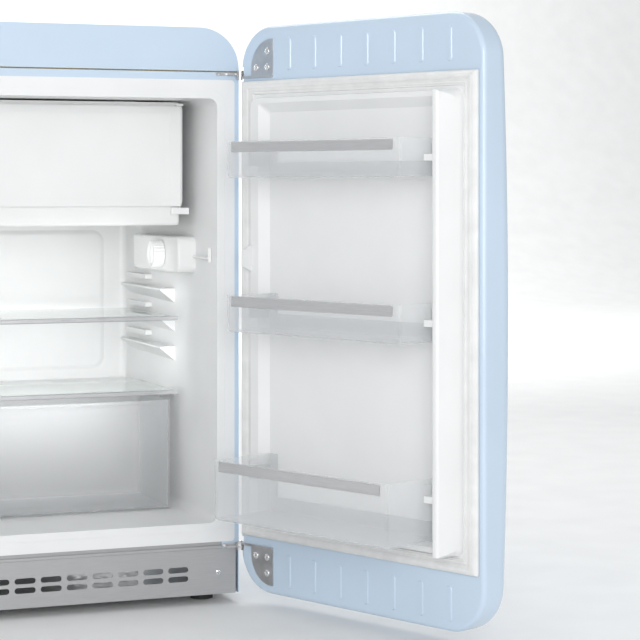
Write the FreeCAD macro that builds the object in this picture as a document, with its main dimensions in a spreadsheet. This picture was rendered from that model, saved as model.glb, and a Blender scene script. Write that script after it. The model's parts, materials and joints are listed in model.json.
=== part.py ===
import FreeCAD, Part
import math
import os
import Sketcher
from FreeCAD import Placement, Rotation, Vector

# Retro one-door refrigerator with an ice box, stored with its door open.
# Millimetres.  +Z is up, the front faces -Y and the door is hinged on the +X side.
# Pieces are drawn from the middle of the cabinet's front lower edge.  The finished
# sub-parts are then moved back by half the depth, so that the origin of the stored
# object is the middle of the base pan's underside.

doc = FreeCAD.newDocument("refrigerator")
sheet = doc.addObject("Spreadsheet::Sheet", "sizes")

DRIVING_SIZES = [
    ("cabinet_width", 543, "over the side panels"),
    ("cabinet_top", 945, "top panel above the base pan"),
    ("cabinet_depth", 561, "front face to rear panel"),
    ("crown_radius", 68, "round upper corners of the cabinet"),
    ("steel", 1, "painted sheet"),
    ("front_sheet", 1.6, "front frame and liner flange"),
    ("seam_height", 873, "joint under the crown"),
    ("seam_gap", 2.4, "open joint under the crown"),
    ("flange_top", 858, "top of the liner flange"),
    ("flange_bottom", 87, "bottom of the liner flange"),
    ("frame_side", 7.5, "painted strip beside the liner flange"),
    ("flange_corner", 6, "outer corners of the liner flange"),
    ("groove_step", 12, "moulded line to the mouth of the cabin"),
    ("opening_width", 467, "clear width of the cabin mouth"),
    ("opening_top", 827, "roof of the cabin"),
    ("opening_bottom", 119, "floor of the cabin"),
    ("opening_radius", 14, "corners of the cabin mouth"),
    ("liner_wall", 1.6, "inner liner sheet"),
    ("liner_back", 500, "rear wall of the cabin"),
    ("liner_taper", 17, "how much each side wall closes in towards the rear"),
    ("hump_top", 320, "step over the compressor"),
    ("hump_wall", 40, "insulation behind the step"),
    ("ledge_lowest", 398, "top of the lowest shelf ledge"),
    ("ledge_pitch", 51, "between ledges"),
    ("ledge_reach", 27, "ledge out of the wall"),
    ("ledge_drop", 25, "height of a ledge"),
    ("ledge_front", 215, "where the ledges begin"),
    ("ledge_length", 255, "along the wall"),
    ("slim_ledge", 8, "height of the pair level with the step"),
    ("rib_reach", 12, "stop rib over a ledge, out of the wall"),
    ("rib_above", 12, "stop rib over the ledge"),
    ("rib_height", 8, "stop rib"),
    ("plinth_height", 76, "front grille panel"),
    ("plinth_inset", 5.5, "panel end to the side of the cabinet"),
    ("plinth_sheet", 1.2, "grille panel sheet"),
    ("slot_length", 34.5, "grille slot"),
    ("slot_height", 9.3, "grille slot"),
    ("slot_pitch", 43, "along a row"),
    ("slot_row_height", 28.6, "lower row"),
    ("slot_row_pitch", 15.2, "between the rows"),
    ("slot_offset", 6.4, "group off the middle"),
    ("pan_sheet", 2, "base pan"),
    ("pan_recess", 0.8, "shallow corner recesses that seat the feet"),
    ("foot_height", 16, "floor to base pan"),
    ("foot_radius", 19, "foot pads"),
    ("foot_inset", 46, "foot to the side panel"),
    ("stud_radius", 5, "levelling stud"),
    ("running_clearance", 0.05, "radial, in turning fits"),
    ("sliding_clearance", 0.4, "beside what slides or swings"),
    ("door_bottom", 9, "lower edge of the door"),
    ("door_top", 944.5, "upper edge of the door"),
    ("door_gap", 9.2, "door back to cabinet front"),
    ("door_thickness", 72, "at the middle"),
    ("door_bow", 14, "rise of the front over half the height"),
    ("door_corner", 70, "round corners of the door"),
    ("door_front_edge", 22, "front edge rounding"),
    ("door_back_edge", 7, "rear edge rounding"),
    ("door_hinge_gap", 2, "door edge to the line of the side panel"),
    ("handle_inset", 72, "bar to the free edge of the door"),
    ("handle_low", 471, "bar over the door's lower edge"),
    ("handle_length", 200, "bar"),
    ("handle_radius", 8, "bar"),
    ("handle_reach", 30, "bar off the front of the door"),
    ("door_open_angle", 112.8, "how far the stored door stands open"),
    ("hinge_axis_inset", 0.7, "hinge axis to the line of the side panel"),
    ("pin_radius", 4, "hinge pins"),
    ("knuckle_radius", 7, "round ends of the hinge leaves"),
    ("leaf_thickness", 3.5, "hinge leaves"),
    ("hinge_notch", 9, "clearance round a knuckle"),
    ("leaf_gap", 2.5, "between a door leaf and its cabinet leaf"),
    ("bracket_sheet", 1.8, "foot of a cabinet bracket"),
    ("plate_length", 52, "hinge plate on the door"),
    ("plate_height", 63, "hinge plate on the door"),
    ("plate_sheet", 2, "hinge plate on the door"),
    ("plate_round", 48, "its quarter-round corner"),
    ("plate_inset", 30, "hinge plate to the axis"),
    ("gasket_top", 855, "outer edge"),
    ("gasket_bottom", 100, "outer edge"),
    ("gasket_side", 9.5, "outer edge to the side panel line"),
    ("gasket_width", 29.5, "seal strip at the sides"),
    ("gasket_ends", 23, "seal strip at the top and bottom"),
    ("gasket_corner", 3, "outer corners of the seal"),
    ("door_liner_gap", 2, "raised panel to the sides of the cabin mouth"),
    ("door_liner_over", 0.5, "its foot over the roof line; the lean clears it"),
    ("door_liner_under", 5, "its foot over the floor of the cabin"),
    ("door_liner_rise", 14, "raised panel over the door back"),
    ("door_liner_draft", 2.5, "how far its outer faces lean in"),
    ("door_liner_sheet", 1.5, "flange and recessed centre over the door back"),
    ("rim_width", 18.5, "flat rim of the raised panel at the hinge side"),
    ("rim_ends", 8, "flat rim at the top and bottom"),
    ("rim_slope", 15, "from the rim down to the recessed centre"),
    ("rail_rise", 50, "rail at the free side over the door back"),
    ("rail_width", 36, "its root, where the balconies end"),
    ("rail_crown_in", 19.9, "crown's inner edge to the panel's side"),
    ("rail_crown_out", 8.3, "crown's outer edge to the panel's side"),
    ("rail_edge", 5, "rounding of the crown"),
    ("post_width", 11, "posts of the balcony pegs at the hinge side"),
    ("post_height", 22, "posts of the balcony pegs"),
    ("emboss_width", 11, "embossed ribs of the door frame"),
    ("emboss_length", 54, "embossed ribs"),
    ("emboss_pitch", 59, "embossed ribs"),
    ("emboss_rise", 1.6, "embossed ribs"),
    ("balcony_wall", 2.4, "clear moulding"),
    ("balcony_back", 4, "rear of a balcony over the door back"),
    ("balcony_corner", 7, "front uprights of a balcony"),
    ("balcony_reach", 100, "upper balconies, from the door back"),
    ("bottle_reach", 127, "bottom balcony, from the door back"),
    ("balcony_high", 59, "upper balconies"),
    ("bottle_high", 96, "bottom balcony"),
    ("top_balcony_base", 694, "underside"),
    ("middle_balcony_base", 446, "underside"),
    ("bottom_balcony_base", 146, "underside"),
    ("strip_height", 17, "metal strip of a balcony"),
    ("strip_sheet", 1.2, "metal strip of a balcony"),
    ("strip_inset", 15, "strip end to the balcony's side"),
    ("hook_drop", 8, "hook under the rim of a balcony"),
    ("hook_height", 15.6, "hook of a balcony"),
    ("peg_front", 32, "peg over the door back"),
    ("peg_depth", 17, "peg"),
    ("peg_height", 10, "peg"),
    ("shelf_front", 160, "front edge of the shelves"),
    ("shelf_width", 430, "glass shelves"),
    ("shelf_depth", 235, "lower glass shelf"),
    ("upper_shelf_depth", 300, "upper glass shelf"),
    ("glass", 4, "shelf glass"),
    ("crisper_width", 408, "drawer"),
    ("crisper_height", 190, "drawer"),
    ("crisper_wall", 2.5, "drawer"),
    ("icebox_width", 410, "evaporator box"),
    ("icebox_bottom", 646, "evaporator box"),
    ("icebox_front", 118, "evaporator box"),
    ("icebox_depth", 322, "evaporator box"),
    ("icebox_wall", 2, "evaporator box"),
    ("flap_thickness", 6, "ice box door"),
    ("flap_pin_radius", 1.8, "flap pin"),
    ("tray_height", 29.5, "drip tray under the ice box"),
    ("tray_edge", 5, "soft lower edge of the tray"),
    ("tray_wall", 2, "drip tray and evaporation tray"),
    ("trim_overlap", 3, "front trim past the ice box"),
    ("trim_depth", 5, "front trim of the ice box"),
    ("unit_depth", 30, "control unit out of the wall"),
    ("unit_bottom", 531, "control unit"),
    ("unit_top", 594, "control unit"),
    ("unit_front", 106, "control unit"),
    ("unit_back", 375, "control unit"),
    ("unit_split", 173, "lamp cover to thermostat housing"),
    ("unit_end", 14, "round front end of the control unit"),
    ("unit_edge", 5, "soft edge round its face"),
    ("dial_behind", 27, "dial behind the split"),
    ("button_behind", 100, "defrost button behind the split"),
    ("dial_radius", 24, "thermostat dial"),
    ("dial_height", 20, "thermostat dial"),
    ("compressor_radius", 68, "compressor shell"),
    ("compressor_room", 9.5, "free space in front of and behind the compressor"),
    ("compressor_height", 150, "compressor shell"),
    ("tube_radius", 2.4, "condenser tube"),
    ("wire_radius", 0.8, "condenser wires"),
]
for row, (alias, number, note) in enumerate(DRIVING_SIZES, start=1):
    sheet.set(f"A{row}", alias)
    sheet.set(f"B{row}", str(number))
    sheet.set(f"C{row}", note)
    sheet.setAlias(f"B{row}", alias)
doc.recompute()


class Size:
    """A length that carries its number and the sheet formula it comes from."""

    def __init__(self, text, number):
        self.text = text
        self.number = float(number)

    def __float__(self):
        return self.number

    def joined(self, sign, other, number):
        return Size(f"({self.text} {sign} {as_size(other).text})", number)

    def __add__(self, other):
        return self.joined("+", other, self.number + float(other))

    def __sub__(self, other):
        return self.joined("-", other, self.number - float(other))

    def __mul__(self, other):
        return self.joined("*", other, self.number * float(other))

    def __truediv__(self, other):
        return self.joined("/", other, self.number / float(other))

    def __radd__(self, other):
        return as_size(other) + self

    def __rsub__(self, other):
        return as_size(other) - self

    def __rmul__(self, other):
        return as_size(other) * self

    def __neg__(self):
        return Size(f"(0 - {self.text})", -self.number)


def as_size(value):
    return value if isinstance(value, Size) else Size(repr(float(value)), value)


S = {alias: Size(f"sizes.{alias}", sheet.get(alias)) for alias, _, _ in DRIVING_SIZES}
NODES = []


def bind(thing, prop, value):
    """Ties one property to the sheet, or sets it where it is a plain number."""
    thing.setExpression(prop, as_size(value).text)


def place(thing, x=0, y=0, z=0):
    for letter, value in zip("xyz", (x, y, z)):
        bind(thing, f"Placement.Base.{letter}", value)
    return thing


def node(thing, label, pose=None):
    """Names a finished sub-part; its stored pose is set once everything is built."""
    if thing.TypeId in ("PartDesign::Body", "Part::Box", "Part::Cylinder"):
        thing = grouped(label + "_set", [thing])
    thing.Label = label
    NODES.append((thing, pose))
    return thing


def box(name, x0, x1, y0, y1, z0, z1):
    block = doc.addObject("Part::Box", name)
    bind(block, "Length", as_size(x1) - x0)
    bind(block, "Width", as_size(y1) - y0)
    bind(block, "Height", as_size(z1) - z0)
    return place(block, x0, y0, z0)


AXIS_TURNS = {
    "X": Rotation(Vector(0, 1, 0), 90),
    "Y": Rotation(Vector(1, 0, 0), -90),
    "Z": Rotation(),
}


def rod(name, axis, radius, start, length):
    """A cylinder from start = (x, y, z) along a positive axis."""
    bar = doc.addObject("Part::Cylinder", name)
    bind(bar, "Radius", radius)
    bind(bar, "Height", length)
    bar.Placement.Rotation = AXIS_TURNS[axis]
    return place(bar, *start)


def ball(name, radius, centre):
    dome = doc.addObject("Part::Sphere", name)
    bind(dome, "Radius", radius)
    return place(dome, *centre)


def fused(name, pieces):
    whole = doc.addObject("Part::MultiFuse", name)
    whole.Shapes = pieces
    whole.Refine = True
    return whole


def cut(name, base, *tools):
    result = doc.addObject("Part::Cut", name)
    result.Base = base
    result.Tool = tools[0] if len(tools) == 1 else fused(name + "_tools", list(tools))
    result.Refine = True
    return result


def common(name, first, second):
    result = doc.addObject("Part::Common", name)
    result.Base = first
    result.Tool = second
    return result


def grouped(name, pieces):
    """Separate solids kept together in one node."""
    group = doc.addObject("Part::Compound", name)
    group.Links = pieces
    return group


def made(name, shape):
    piece = doc.addObject("Part::Feature", name)
    piece.Shape = shape
    return piece


def rounded(name, base, radius, test):
    """Rounds the edges of a solid whose middle and direction pass the test."""
    doc.recompute()
    edges = base.Shape.Edges
    picks = [i for i, edge in enumerate(edges, start=1) if test(edge)]
    result = doc.addObject("Part::Fillet", name)
    result.Base = base
    result.Edges = [(i, float(radius), float(radius)) for i in picks]
    return result


def along(letter):
    """A test for straight edges that run along one axis."""
    direction = {"X": Vector(1, 0, 0), "Y": Vector(0, 1, 0), "Z": Vector(0, 0, 1)}[letter]

    def test(edge):
        if not isinstance(edge.Curve, Part.Line):
            return False
        return abs(abs(edge.tangentAt(edge.FirstParameter).dot(direction)) - 1) < 1e-6

    return test


# ---------------------------------------------------------------- sketched plates

PLANE_ROLES = {"XZ": "XZ_Plane", "XY": "XY_Plane", "YZ": "YZ_Plane"}


def new_sketch(body, name, plane):
    sketch = body.newObject("Sketcher::SketchObject", name)
    role = PLANE_ROLES[plane]
    base = [o for o in body.Origin.OriginFeatures if o.Role == role][0]
    sketch.AttachmentSupport = (base, [""])
    sketch.MapMode = "FlatFace"
    return sketch


def held(sketch, label, kind, first, point, value):
    """A named distance from the sketch's origin, tied to the sheet."""
    value = as_size(value)
    sketch.addConstraint(Sketcher.Constraint(kind, -1, 1, first, point, value.number))
    sketch.renameConstraint(sketch.ConstraintCount - 1, label)
    sketch.setExpression(f"Constraints.{label}", value.text)


def draw_loop(sketch, label, u0, u1, v0, v1, radius):
    """A rectangle with round corners, from (u0, v0) to (u1, v1)."""
    a, b, c, d, r = (float(value) for value in (u0, u1, v0, v1, radius))
    first = sketch.GeometryCount
    corners = [((b - r, c + r), -90), ((b - r, d - r), 0), ((a + r, d - r), 90), ((a + r, c + r), 180)]
    lines = [((a + r, c), (b - r, c)), ((b, c + r), (b, d - r)), ((b - r, d), (a + r, d)),
             ((a, d - r), (a, c + r))]
    for start, end in lines:
        sketch.addGeometry(Part.LineSegment(Vector(*start, 0), Vector(*end, 0)))
    for centre, turn in corners:
        circle = Part.Circle(Vector(*centre, 0), Vector(0, 0, 1), r)
        begin = math.radians(turn)
        sketch.addGeometry(Part.ArcOfCircle(circle, begin, begin + math.pi / 2))
    for i in range(4):
        line, arc, following = first + i, first + 4 + i, first + (i + 1) % 4
        sketch.addConstraint(Sketcher.Constraint("Tangent", line, 2, arc, 1))
        sketch.addConstraint(Sketcher.Constraint("Tangent", arc, 2, following, 1))
        sketch.addConstraint(Sketcher.Constraint("Vertical" if i % 2 else "Horizontal", line))
        if i:
            sketch.addConstraint(Sketcher.Constraint("Equal", first + 4, arc))
    sketch.addConstraint(Sketcher.Constraint("Radius", first + 4, r))
    sketch.renameConstraint(sketch.ConstraintCount - 1, label + "_radius")
    sketch.setExpression(f"Constraints.{label}_radius", as_size(radius).text)
    held(sketch, label + "_low_u", "DistanceX", first + 3, 1, u0)
    held(sketch, label + "_high_u", "DistanceX", first + 1, 1, u1)
    held(sketch, label + "_low_v", "DistanceY", first, 1, v0)
    held(sketch, label + "_high_v", "DistanceY", first + 2, 1, v1)


def plate(name, plane, outer, holes, start, end):
    """A sketched and padded plate.  outer and holes are (u0, u1, v0, v1, radius)."""
    body = doc.addObject("PartDesign::Body", name)
    sketch = new_sketch(body, name + "_outline", plane)
    u0, v0 = as_size(outer[0]), as_size(outer[2])
    for i, loop in enumerate([outer] + holes):
        draw_loop(sketch, f"loop{i}", loop[0] - u0, loop[1] - u0, loop[2] - v0, loop[3] - v0, loop[4])
    pad = body.newObject("PartDesign::Pad", name + "_pad")
    pad.Profile = sketch
    bind(pad, "Length", as_size(end) - start)
    if plane == "XZ":
        place(body, u0, end, v0)
    elif plane == "XY":
        place(body, u0, v0, start)
    else:
        place(body, start, u0, v0)
    doc.recompute()
    return body


def pocket_row(body, name, plane, loop, depth, count, pitch, reverse):
    """A pocket in a plate, repeated along the sketch's first direction."""
    sketch = new_sketch(body, name + "_outline", plane)
    draw_loop(sketch, "slot", *loop)
    pocket = body.newObject("PartDesign::Pocket", name)
    pocket.Profile = sketch
    pocket.Reversed = reverse
    bind(pocket, "Length", depth)
    if count > 1:
        row = body.newObject("PartDesign::LinearPattern", name + "_row")
        row.Originals = [pocket]
        row.Direction = (sketch, ["H_Axis"])
        bind(row, "Length", as_size(pitch) * (count - 1))
        row.Occurrences = count
        body.Tip = row
    doc.recompute()


# ---------------------------------------------------------------- shared places

half_width = S["cabinet_width"] / 2
inner_half = half_width - S["steel"]
inner_top = S["cabinet_top"] - S["steel"]
opening_half = S["opening_width"] / 2
flange_half = half_width - S["frame_side"]
bay_top = S["hump_top"] - S["hump_wall"]
floor_underside = S["plinth_height"] + S["steel"]
rear_inside = S["cabinet_depth"] - S["steel"]
bay_front = rear_inside - (S["compressor_radius"] + S["compressor_room"]) * 2
hump_front = bay_front - S["hump_wall"]

hinge_x = half_width - S["hinge_axis_inset"]
hinge_y = -S["door_gap"]
AXIS = Vector(float(hinge_x), float(hinge_y), 0)
STORED_SHIFT = Placement(Vector(0, -float(S["cabinet_depth"]) / 2, 0), Rotation())
DOOR_OPEN = Placement(Vector(0, 0, 0), Rotation(Vector(0, 0, 1), float(S["door_open_angle"])), AXIS)
door_x0 = -half_width
door_x1 = half_width - S["door_hinge_gap"]
door_back = hinge_y
panel_half = opening_half - S["door_liner_gap"]
panel_top = S["opening_top"] + S["door_liner_over"]
panel_bottom = S["opening_bottom"] + S["door_liner_under"]
rail_inner = panel_half - S["rail_width"]
rim_inner = panel_half - S["door_liner_draft"] - S["rim_width"]
BALCONIES = [
    ("top", S["top_balcony_base"], S["balcony_high"], S["balcony_reach"]),
    ("middle", S["middle_balcony_base"], S["balcony_high"], S["balcony_reach"]),
    ("bottom", S["bottom_balcony_base"], S["bottle_high"], S["bottle_reach"]),
]
balcony_half = rail_inner - S["sliding_clearance"] * 3


def wall_half(y):
    """Half of the cabin's width at a depth."""
    return opening_half - S["liner_taper"] * as_size(y) / S["liner_back"]


# ---------------------------------------------------------------- cabinet


def rounded_wire(half, z0, z1, y, radius):
    """A wire of a rectangle with round corners, upright at one depth."""
    x, r = float(half), float(radius)
    lines = [
        (Vector(-x + r, y, z0), Vector(x - r, y, z0)),
        (Vector(x, y, z0 + r), Vector(x, y, z1 - r)),
        (Vector(x - r, y, z1), Vector(-x + r, y, z1)),
        (Vector(-x, y, z1 - r), Vector(-x, y, z0 + r)),
    ]
    s = r * (1 - math.sqrt(0.5))
    middles = [Vector(x - s, y, z0 + s), Vector(x - s, y, z1 - s), Vector(-x + s, y, z1 - s),
               Vector(-x + s, y, z0 + s)]
    edges = []
    for i in range(4):
        edges.append(Part.LineSegment(*lines[i]).toShape())
        edges.append(Part.Arc(lines[i][1], middles[i], lines[(i + 1) % 4][0]).toShape())
    return Part.Wire(edges)


def cabin(grow):
    """The space inside the liner, grown by a wall on every side but the front."""
    back = float(S["liner_back"]) + grow
    z0 = float(S["opening_bottom"]) - grow
    z1 = float(S["opening_top"]) + grow
    radius = float(S["opening_radius"]) + grow
    mouth = rounded_wire(float(opening_half) + grow, z0, z1, 0, radius)
    rear = rounded_wire(float(wall_half(back)) + grow, z0, z1, back, radius)
    room = Part.makeLoft([mouth, rear], True, True)
    uprights = [e for e in room.Edges if abs(e.CenterOfMass.y - back) < 1e-3 and e.Length > 300]
    room = room.makeFillet(radius * 0.9, uprights)
    width = float(S["cabinet_width"])
    front = float(hump_front) + grow
    step = Part.makeBox(width, back, float(S["hump_top"]) - grow, Vector(-width / 2, front, 0))
    ridge = [e for e in step.Edges if e.Length > width - 1 and e.CenterOfMass.z > 1]
    ridge = [e for e in ridge if abs(e.CenterOfMass.y - front) < 1e-3]
    step = step.makeFillet(10 - grow, ridge)
    return room.cut(step)


def ledges():
    """Sloped ledges on both side walls that carry the shelves, with stop ribs above them."""
    y0, y1 = float(S["ledge_front"]), float(S["ledge_front"] + S["ledge_length"])
    inner = float(wall_half(S["ledge_front"]) - S["ledge_reach"])
    outer = float(half_width)
    bars = []
    levels = [(float(S["hump_top"]), float(S["slim_ledge"]))]
    for i in range(3):
        top = float(S["ledge_lowest"] + S["ledge_pitch"] * i)
        levels.append((top, float(S["ledge_drop"])))
        bars.extend(stop_ribs(top, (y0 + y1) / 2, y1))
    for top, drop in levels:
        low = top - drop
        for side in (-1, 1):
            root = side * float(wall_half(S["ledge_front"]))
            lip = Vector(side * inner, y0, top - 3)
            wall = [Vector(side * outer, y0, top), Vector(side * outer, y0, low), Vector(root, y0, low)]
            profile = [Vector(side * inner, y0, top)] + wall + [lip]
            face = Part.Face(Part.makePolygon(profile + profile[:1]))
            bars.append(face.extrude(Vector(0, y1 - y0, 0)))
    return bars


def stop_ribs(ledge_top, y0, y1):
    """A short rib on each side wall, over the rear half of a ledge."""
    low = ledge_top + float(S["rib_above"])
    reach = float(wall_half(y0) - S["rib_reach"])
    wide = float(half_width) - reach
    size = (wide, y1 - y0, float(S["rib_height"]))
    return [Part.makeBox(*size, Vector(x, y0, low)) for x in (reach, -reach - wide)]


def build_cabinet():
    deep = S["cabinet_depth"]
    below = S["crown_radius"] + 30
    ring = plate("wrap_ring", "XZ", (-half_width, half_width, -below, S["cabinet_top"], S["crown_radius"]),
                 [(-inner_half, inner_half, S["steel"] - below, inner_top, S["crown_radius"] - S["steel"])],
                 0, deep)
    wrap = cut("wrap", ring, box("wrap_foot", -half_width - 5, half_width + 5, -5, deep + 5, -below - 5, 0))
    node(wrap, "cabinet_wrap")

    crown_blank = plate("crown_blank", "XZ",
            (-inner_half, inner_half, S["seam_height"] - below * 2, inner_top,
             S["crown_radius"] - S["steel"]), [], 0, S["front_sheet"])
    crown = cut("crown", crown_blank,
                box("crown_below", -half_width - 5, half_width + 5, -5, 10, 0, S["seam_height"]))
    node(crown, "crown_fascia")

    frame_ring = plate("frame_ring", "XZ",
                       (-inner_half, inner_half, S["plinth_height"], S["seam_height"] - S["seam_gap"], 1),
                       [(-flange_half, flange_half, S["flange_bottom"], S["flange_top"],
                         S["flange_corner"])], 0, S["front_sheet"])
    lip_half = lip_end()
    gap = box("frame_gap", -lip_half, lip_half, -1, S["front_sheet"] + 1, S["plinth_height"] - 1,
              S["flange_bottom"])
    node(cut("front_strip", frame_ring, gap), "front_frame")

    flange = plate("flange", "XZ",
                   (-flange_half, flange_half, S["flange_bottom"], S["flange_top"], S["flange_corner"]),
                   [(-opening_half, opening_half, S["opening_bottom"], S["opening_top"],
                     S["opening_radius"])], 0, S["front_sheet"])
    step = S["groove_step"]
    out = step + 1
    line = plate("flange_line", "XZ",
                 (-opening_half - out, opening_half + out, S["opening_bottom"] - out,
                  S["opening_top"] + out, out + 8),
                 [(-opening_half - step, opening_half + step, S["opening_bottom"] - step,
                   S["opening_top"] + step, step + 8)], -1, 0.6)
    doc.recompute()
    outside, inside = cabin(float(S["liner_wall"])), cabin(0)
    shell = outside.cut(inside)
    shell = shell.fuse(flange.Shape.cut(line.Shape))
    bars = [bar.common(outside) for bar in ledges()]
    liner = shell.fuse(bars).removeSplitter()
    node(made("liner_shape", liner), "cabin_liner")

    block = plate("foam_block", "XZ",
            (-inner_half, inner_half, floor_underside - below * 2, inner_top,
             S["crown_radius"] - S["steel"]), [], S["front_sheet"], rear_inside)
    below_floor = box("below_floor", -half_width, half_width, 0, deep, -below * 2, floor_underside)
    bay = box("bay", -half_width, half_width, bay_front - S["steel"], deep, 0, bay_top + S["steel"])
    lip_room = box("lip_room", -lip_half - 0.4, lip_half + 0.4, 0, 4, S["plinth_height"],
                   S["flange_bottom"])
    seam_low, seam_high = S["seam_height"] - S["seam_gap"] - 1, S["seam_height"] + 1
    seam_room = box("seam_room", -inner_half, inner_half, 0, S["front_sheet"] + 8, seam_low, seam_high)
    space = made("cabin_space", outside)
    node(cut("foam", block, below_floor, bay, lip_room, seam_room, space), "cabinet_foam")

    sheet_floor = box("sheet_floor", -inner_half, inner_half, S["front_sheet"], bay_front,
                      S["plinth_height"], floor_underside)
    sheet_wall = box("sheet_wall", -inner_half, inner_half, bay_front - S["steel"], bay_front,
                     S["plinth_height"], bay_top + S["steel"])
    sheet_roof = box("sheet_roof", -inner_half, inner_half, bay_front - S["steel"], rear_inside, bay_top,
                     bay_top + S["steel"])
    node(fused("bottom_sheet", [sheet_floor, sheet_wall, sheet_roof]), "bottom_panel")

    back_blank = plate("back_blank", "XZ",
            (-inner_half, inner_half, bay_top - below * 2, inner_top, S["crown_radius"] - S["steel"]), [],
            rear_inside, deep)
    back = cut("back", back_blank,
               box("back_below", -half_width, half_width, 0, deep + 5, -below * 2, bay_top))
    node(back, "back_panel")


# ---------------------------------------------------------------- base


def lip_end():
    """Half of the bright lip's length along the top of the plinth."""
    return opening_half + 8


def foot_places():
    x = half_width - S["foot_inset"]
    return [("left", -x), ("right", x)]


def build_base():
    front_y, rear_y = S["foot_inset"] + 14, S["cabinet_depth"] - S["foot_inset"]
    pan = box("pan", -inner_half, inner_half, 12, rear_inside, 0, S["pan_sheet"])
    reach = S["foot_radius"] + 6
    seats = []
    for side, x in foot_places():
        x0, x1 = (-half_width, x + reach) if side == "left" else (x - reach, half_width)
        seats.append(box(f"front_seat_{side}", x0, x1, 0, front_y + reach, -1, S["pan_recess"]))
        seats.append(box(f"rear_seat_{side}", x0, x1, rear_y - reach, S["cabinet_depth"], -1,
                         S["pan_recess"]))
    holes = [rod(f"stud_hole_{side}", "Z", S["stud_radius"] + S["running_clearance"], (x, front_y, -1), 4)
             for side, x in foot_places()]
    vents = [box(f"pan_vent{i}", -60 + 40 * i, -40 + 40 * i, bay_front + 20, bay_front + 120, -1, 3)
             for i in range(4)]
    node(cut("pan_cut", pan, *holes, *vents, *seats), "base_pan")

    for side, x in foot_places():
        pad = rod(f"pad_{side}", "Z", S["foot_radius"], (x, front_y, -S["foot_height"]), 7)
        nut_height = S["foot_height"] + S["pan_recess"] - 7 - S["sliding_clearance"]
        nut = rod(f"nut_{side}", "Z", S["stud_radius"] * 2, (x, front_y, 7 - S["foot_height"]), nut_height)
        stud = rod(f"stud_{side}", "Z", S["stud_radius"], (x, front_y, 0 - S["foot_height"]),
                   S["foot_height"] + 22)
        node(fused(f"foot_{side}", [pad, nut, stud]), f"front_foot_{side}")
    tall = S["foot_height"] + S["pan_recess"]
    rear = [rod(f"rear_pad_{side}", "Z", S["foot_radius"], (x, rear_y, -S["foot_height"]), tall) for side,
            x in foot_places()]
    node(grouped("rear_pads", rear), "rear_feet")

    build_plinth()


def build_plinth():
    end = half_width - S["plinth_inset"]
    thick = S["plinth_sheet"]
    panel = plate("grille", "XZ", (-end, end, 0, S["plinth_height"] - 0.2, 1), [], 0, thick)
    count = 9
    first = end - S["slot_offset"] - S["slot_pitch"] * (count - 1) / 2 - S["slot_length"] / 2
    for i in range(2):
        z = S["slot_row_height"] + S["slot_row_pitch"] * i
        loop = (first, first + S["slot_length"], z - S["slot_height"] / 2, z + S["slot_height"] / 2,
                S["slot_height"] / 2 - 0.1)
        pocket_row(panel, f"slot{i}", "XZ", loop, thick + 2, count, S["slot_pitch"], True)
    lip_half = lip_end()
    lip = rounded("lip_round", box("lip", -lip_half, lip_half, -1.6, thick, S["plinth_height"] - 0.4,
                                   S["plinth_height"] + 5), 1.5,
                  lambda e: along("X")(e) and e.CenterOfMass.y < -1)
    strip = box("lip_strip", -lip_half, lip_half, 2.4, 3.6, S["plinth_height"] + 3,
                S["flange_bottom"] - 0.4)
    shelf = box("lip_shelf", -lip_half, lip_half, 1, 3.6, S["plinth_height"] + 3, S["plinth_height"] + 4.2)
    sides = [box(f"return_{i}", x, x + thick, thick - 0.2, 30, 2, S["plinth_height"] - 0.4) for i,
             x in enumerate((-end, end - thick))]
    screw_x, screw_z = end - 30.7, 36.6
    holes = [rod(f"grille_hole{i}", "Y", 2.2, (x, -3, screw_z), 10) for i,
             x in enumerate((-screw_x, screw_x))]
    node(cut("plinth_cut", fused("plinth_whole", [panel, lip, strip, shelf] + sides), *holes), "plinth")
    screws = []
    for i, x in enumerate((-screw_x, screw_x)):
        shank = rod(f"grille_shank{i}", "Y", 2.1, (x, -0.4, screw_z), 9)
        dome = common(f"grille_dome{i}", ball(f"grille_ball{i}", 6, (x, 2.8, screw_z)),
                      box(f"grille_cap{i}", x - 7, x + 7, -5, 0, screw_z - 7, screw_z + 7))
        screws.append(fused(f"grille_screw{i}", [shank, dome]))
    node(grouped("grille_screws", screws), "plinth_screws")


# ---------------------------------------------------------------- refrigeration


def tube(points, radius, bend):
    """A round tube along straight runs joined by tangent arcs."""
    edges = []
    start = points[0]
    for before, corner, after in zip(points, points[1:], points[2:]):
        into = (corner - before).normalize()
        out = (after - corner).normalize()
        turn = into.getAngle(out)
        reach = bend * math.tan(turn / 2)
        a, b = corner - into * reach, corner + out * reach
        bisector = (out - into).normalize()
        middle = corner + bisector * (bend / math.cos(turn / 2) - bend)
        if (a - start).Length > 1e-6:
            edges.append(Part.LineSegment(start, a).toShape())
        edges.append(Part.Arc(a, middle, b).toShape())
        start = b
    edges.append(Part.LineSegment(start, points[-1]).toShape())
    path = Part.Wire(edges)
    ring = Part.Wire(Part.makeCircle(radius, points[0], (points[1] - points[0])))
    return path.makePipeShell([ring], True, False)


def condenser_lines():
    """Heights of the condenser's straight runs and their half length."""
    runs = 11
    low = float(bay_top) + 60
    high = float(S["cabinet_top"]) - 70
    pitch = (high - low) / (runs - 1)
    return [low + pitch * i for i in range(runs)], float(half_width) - 70


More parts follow.
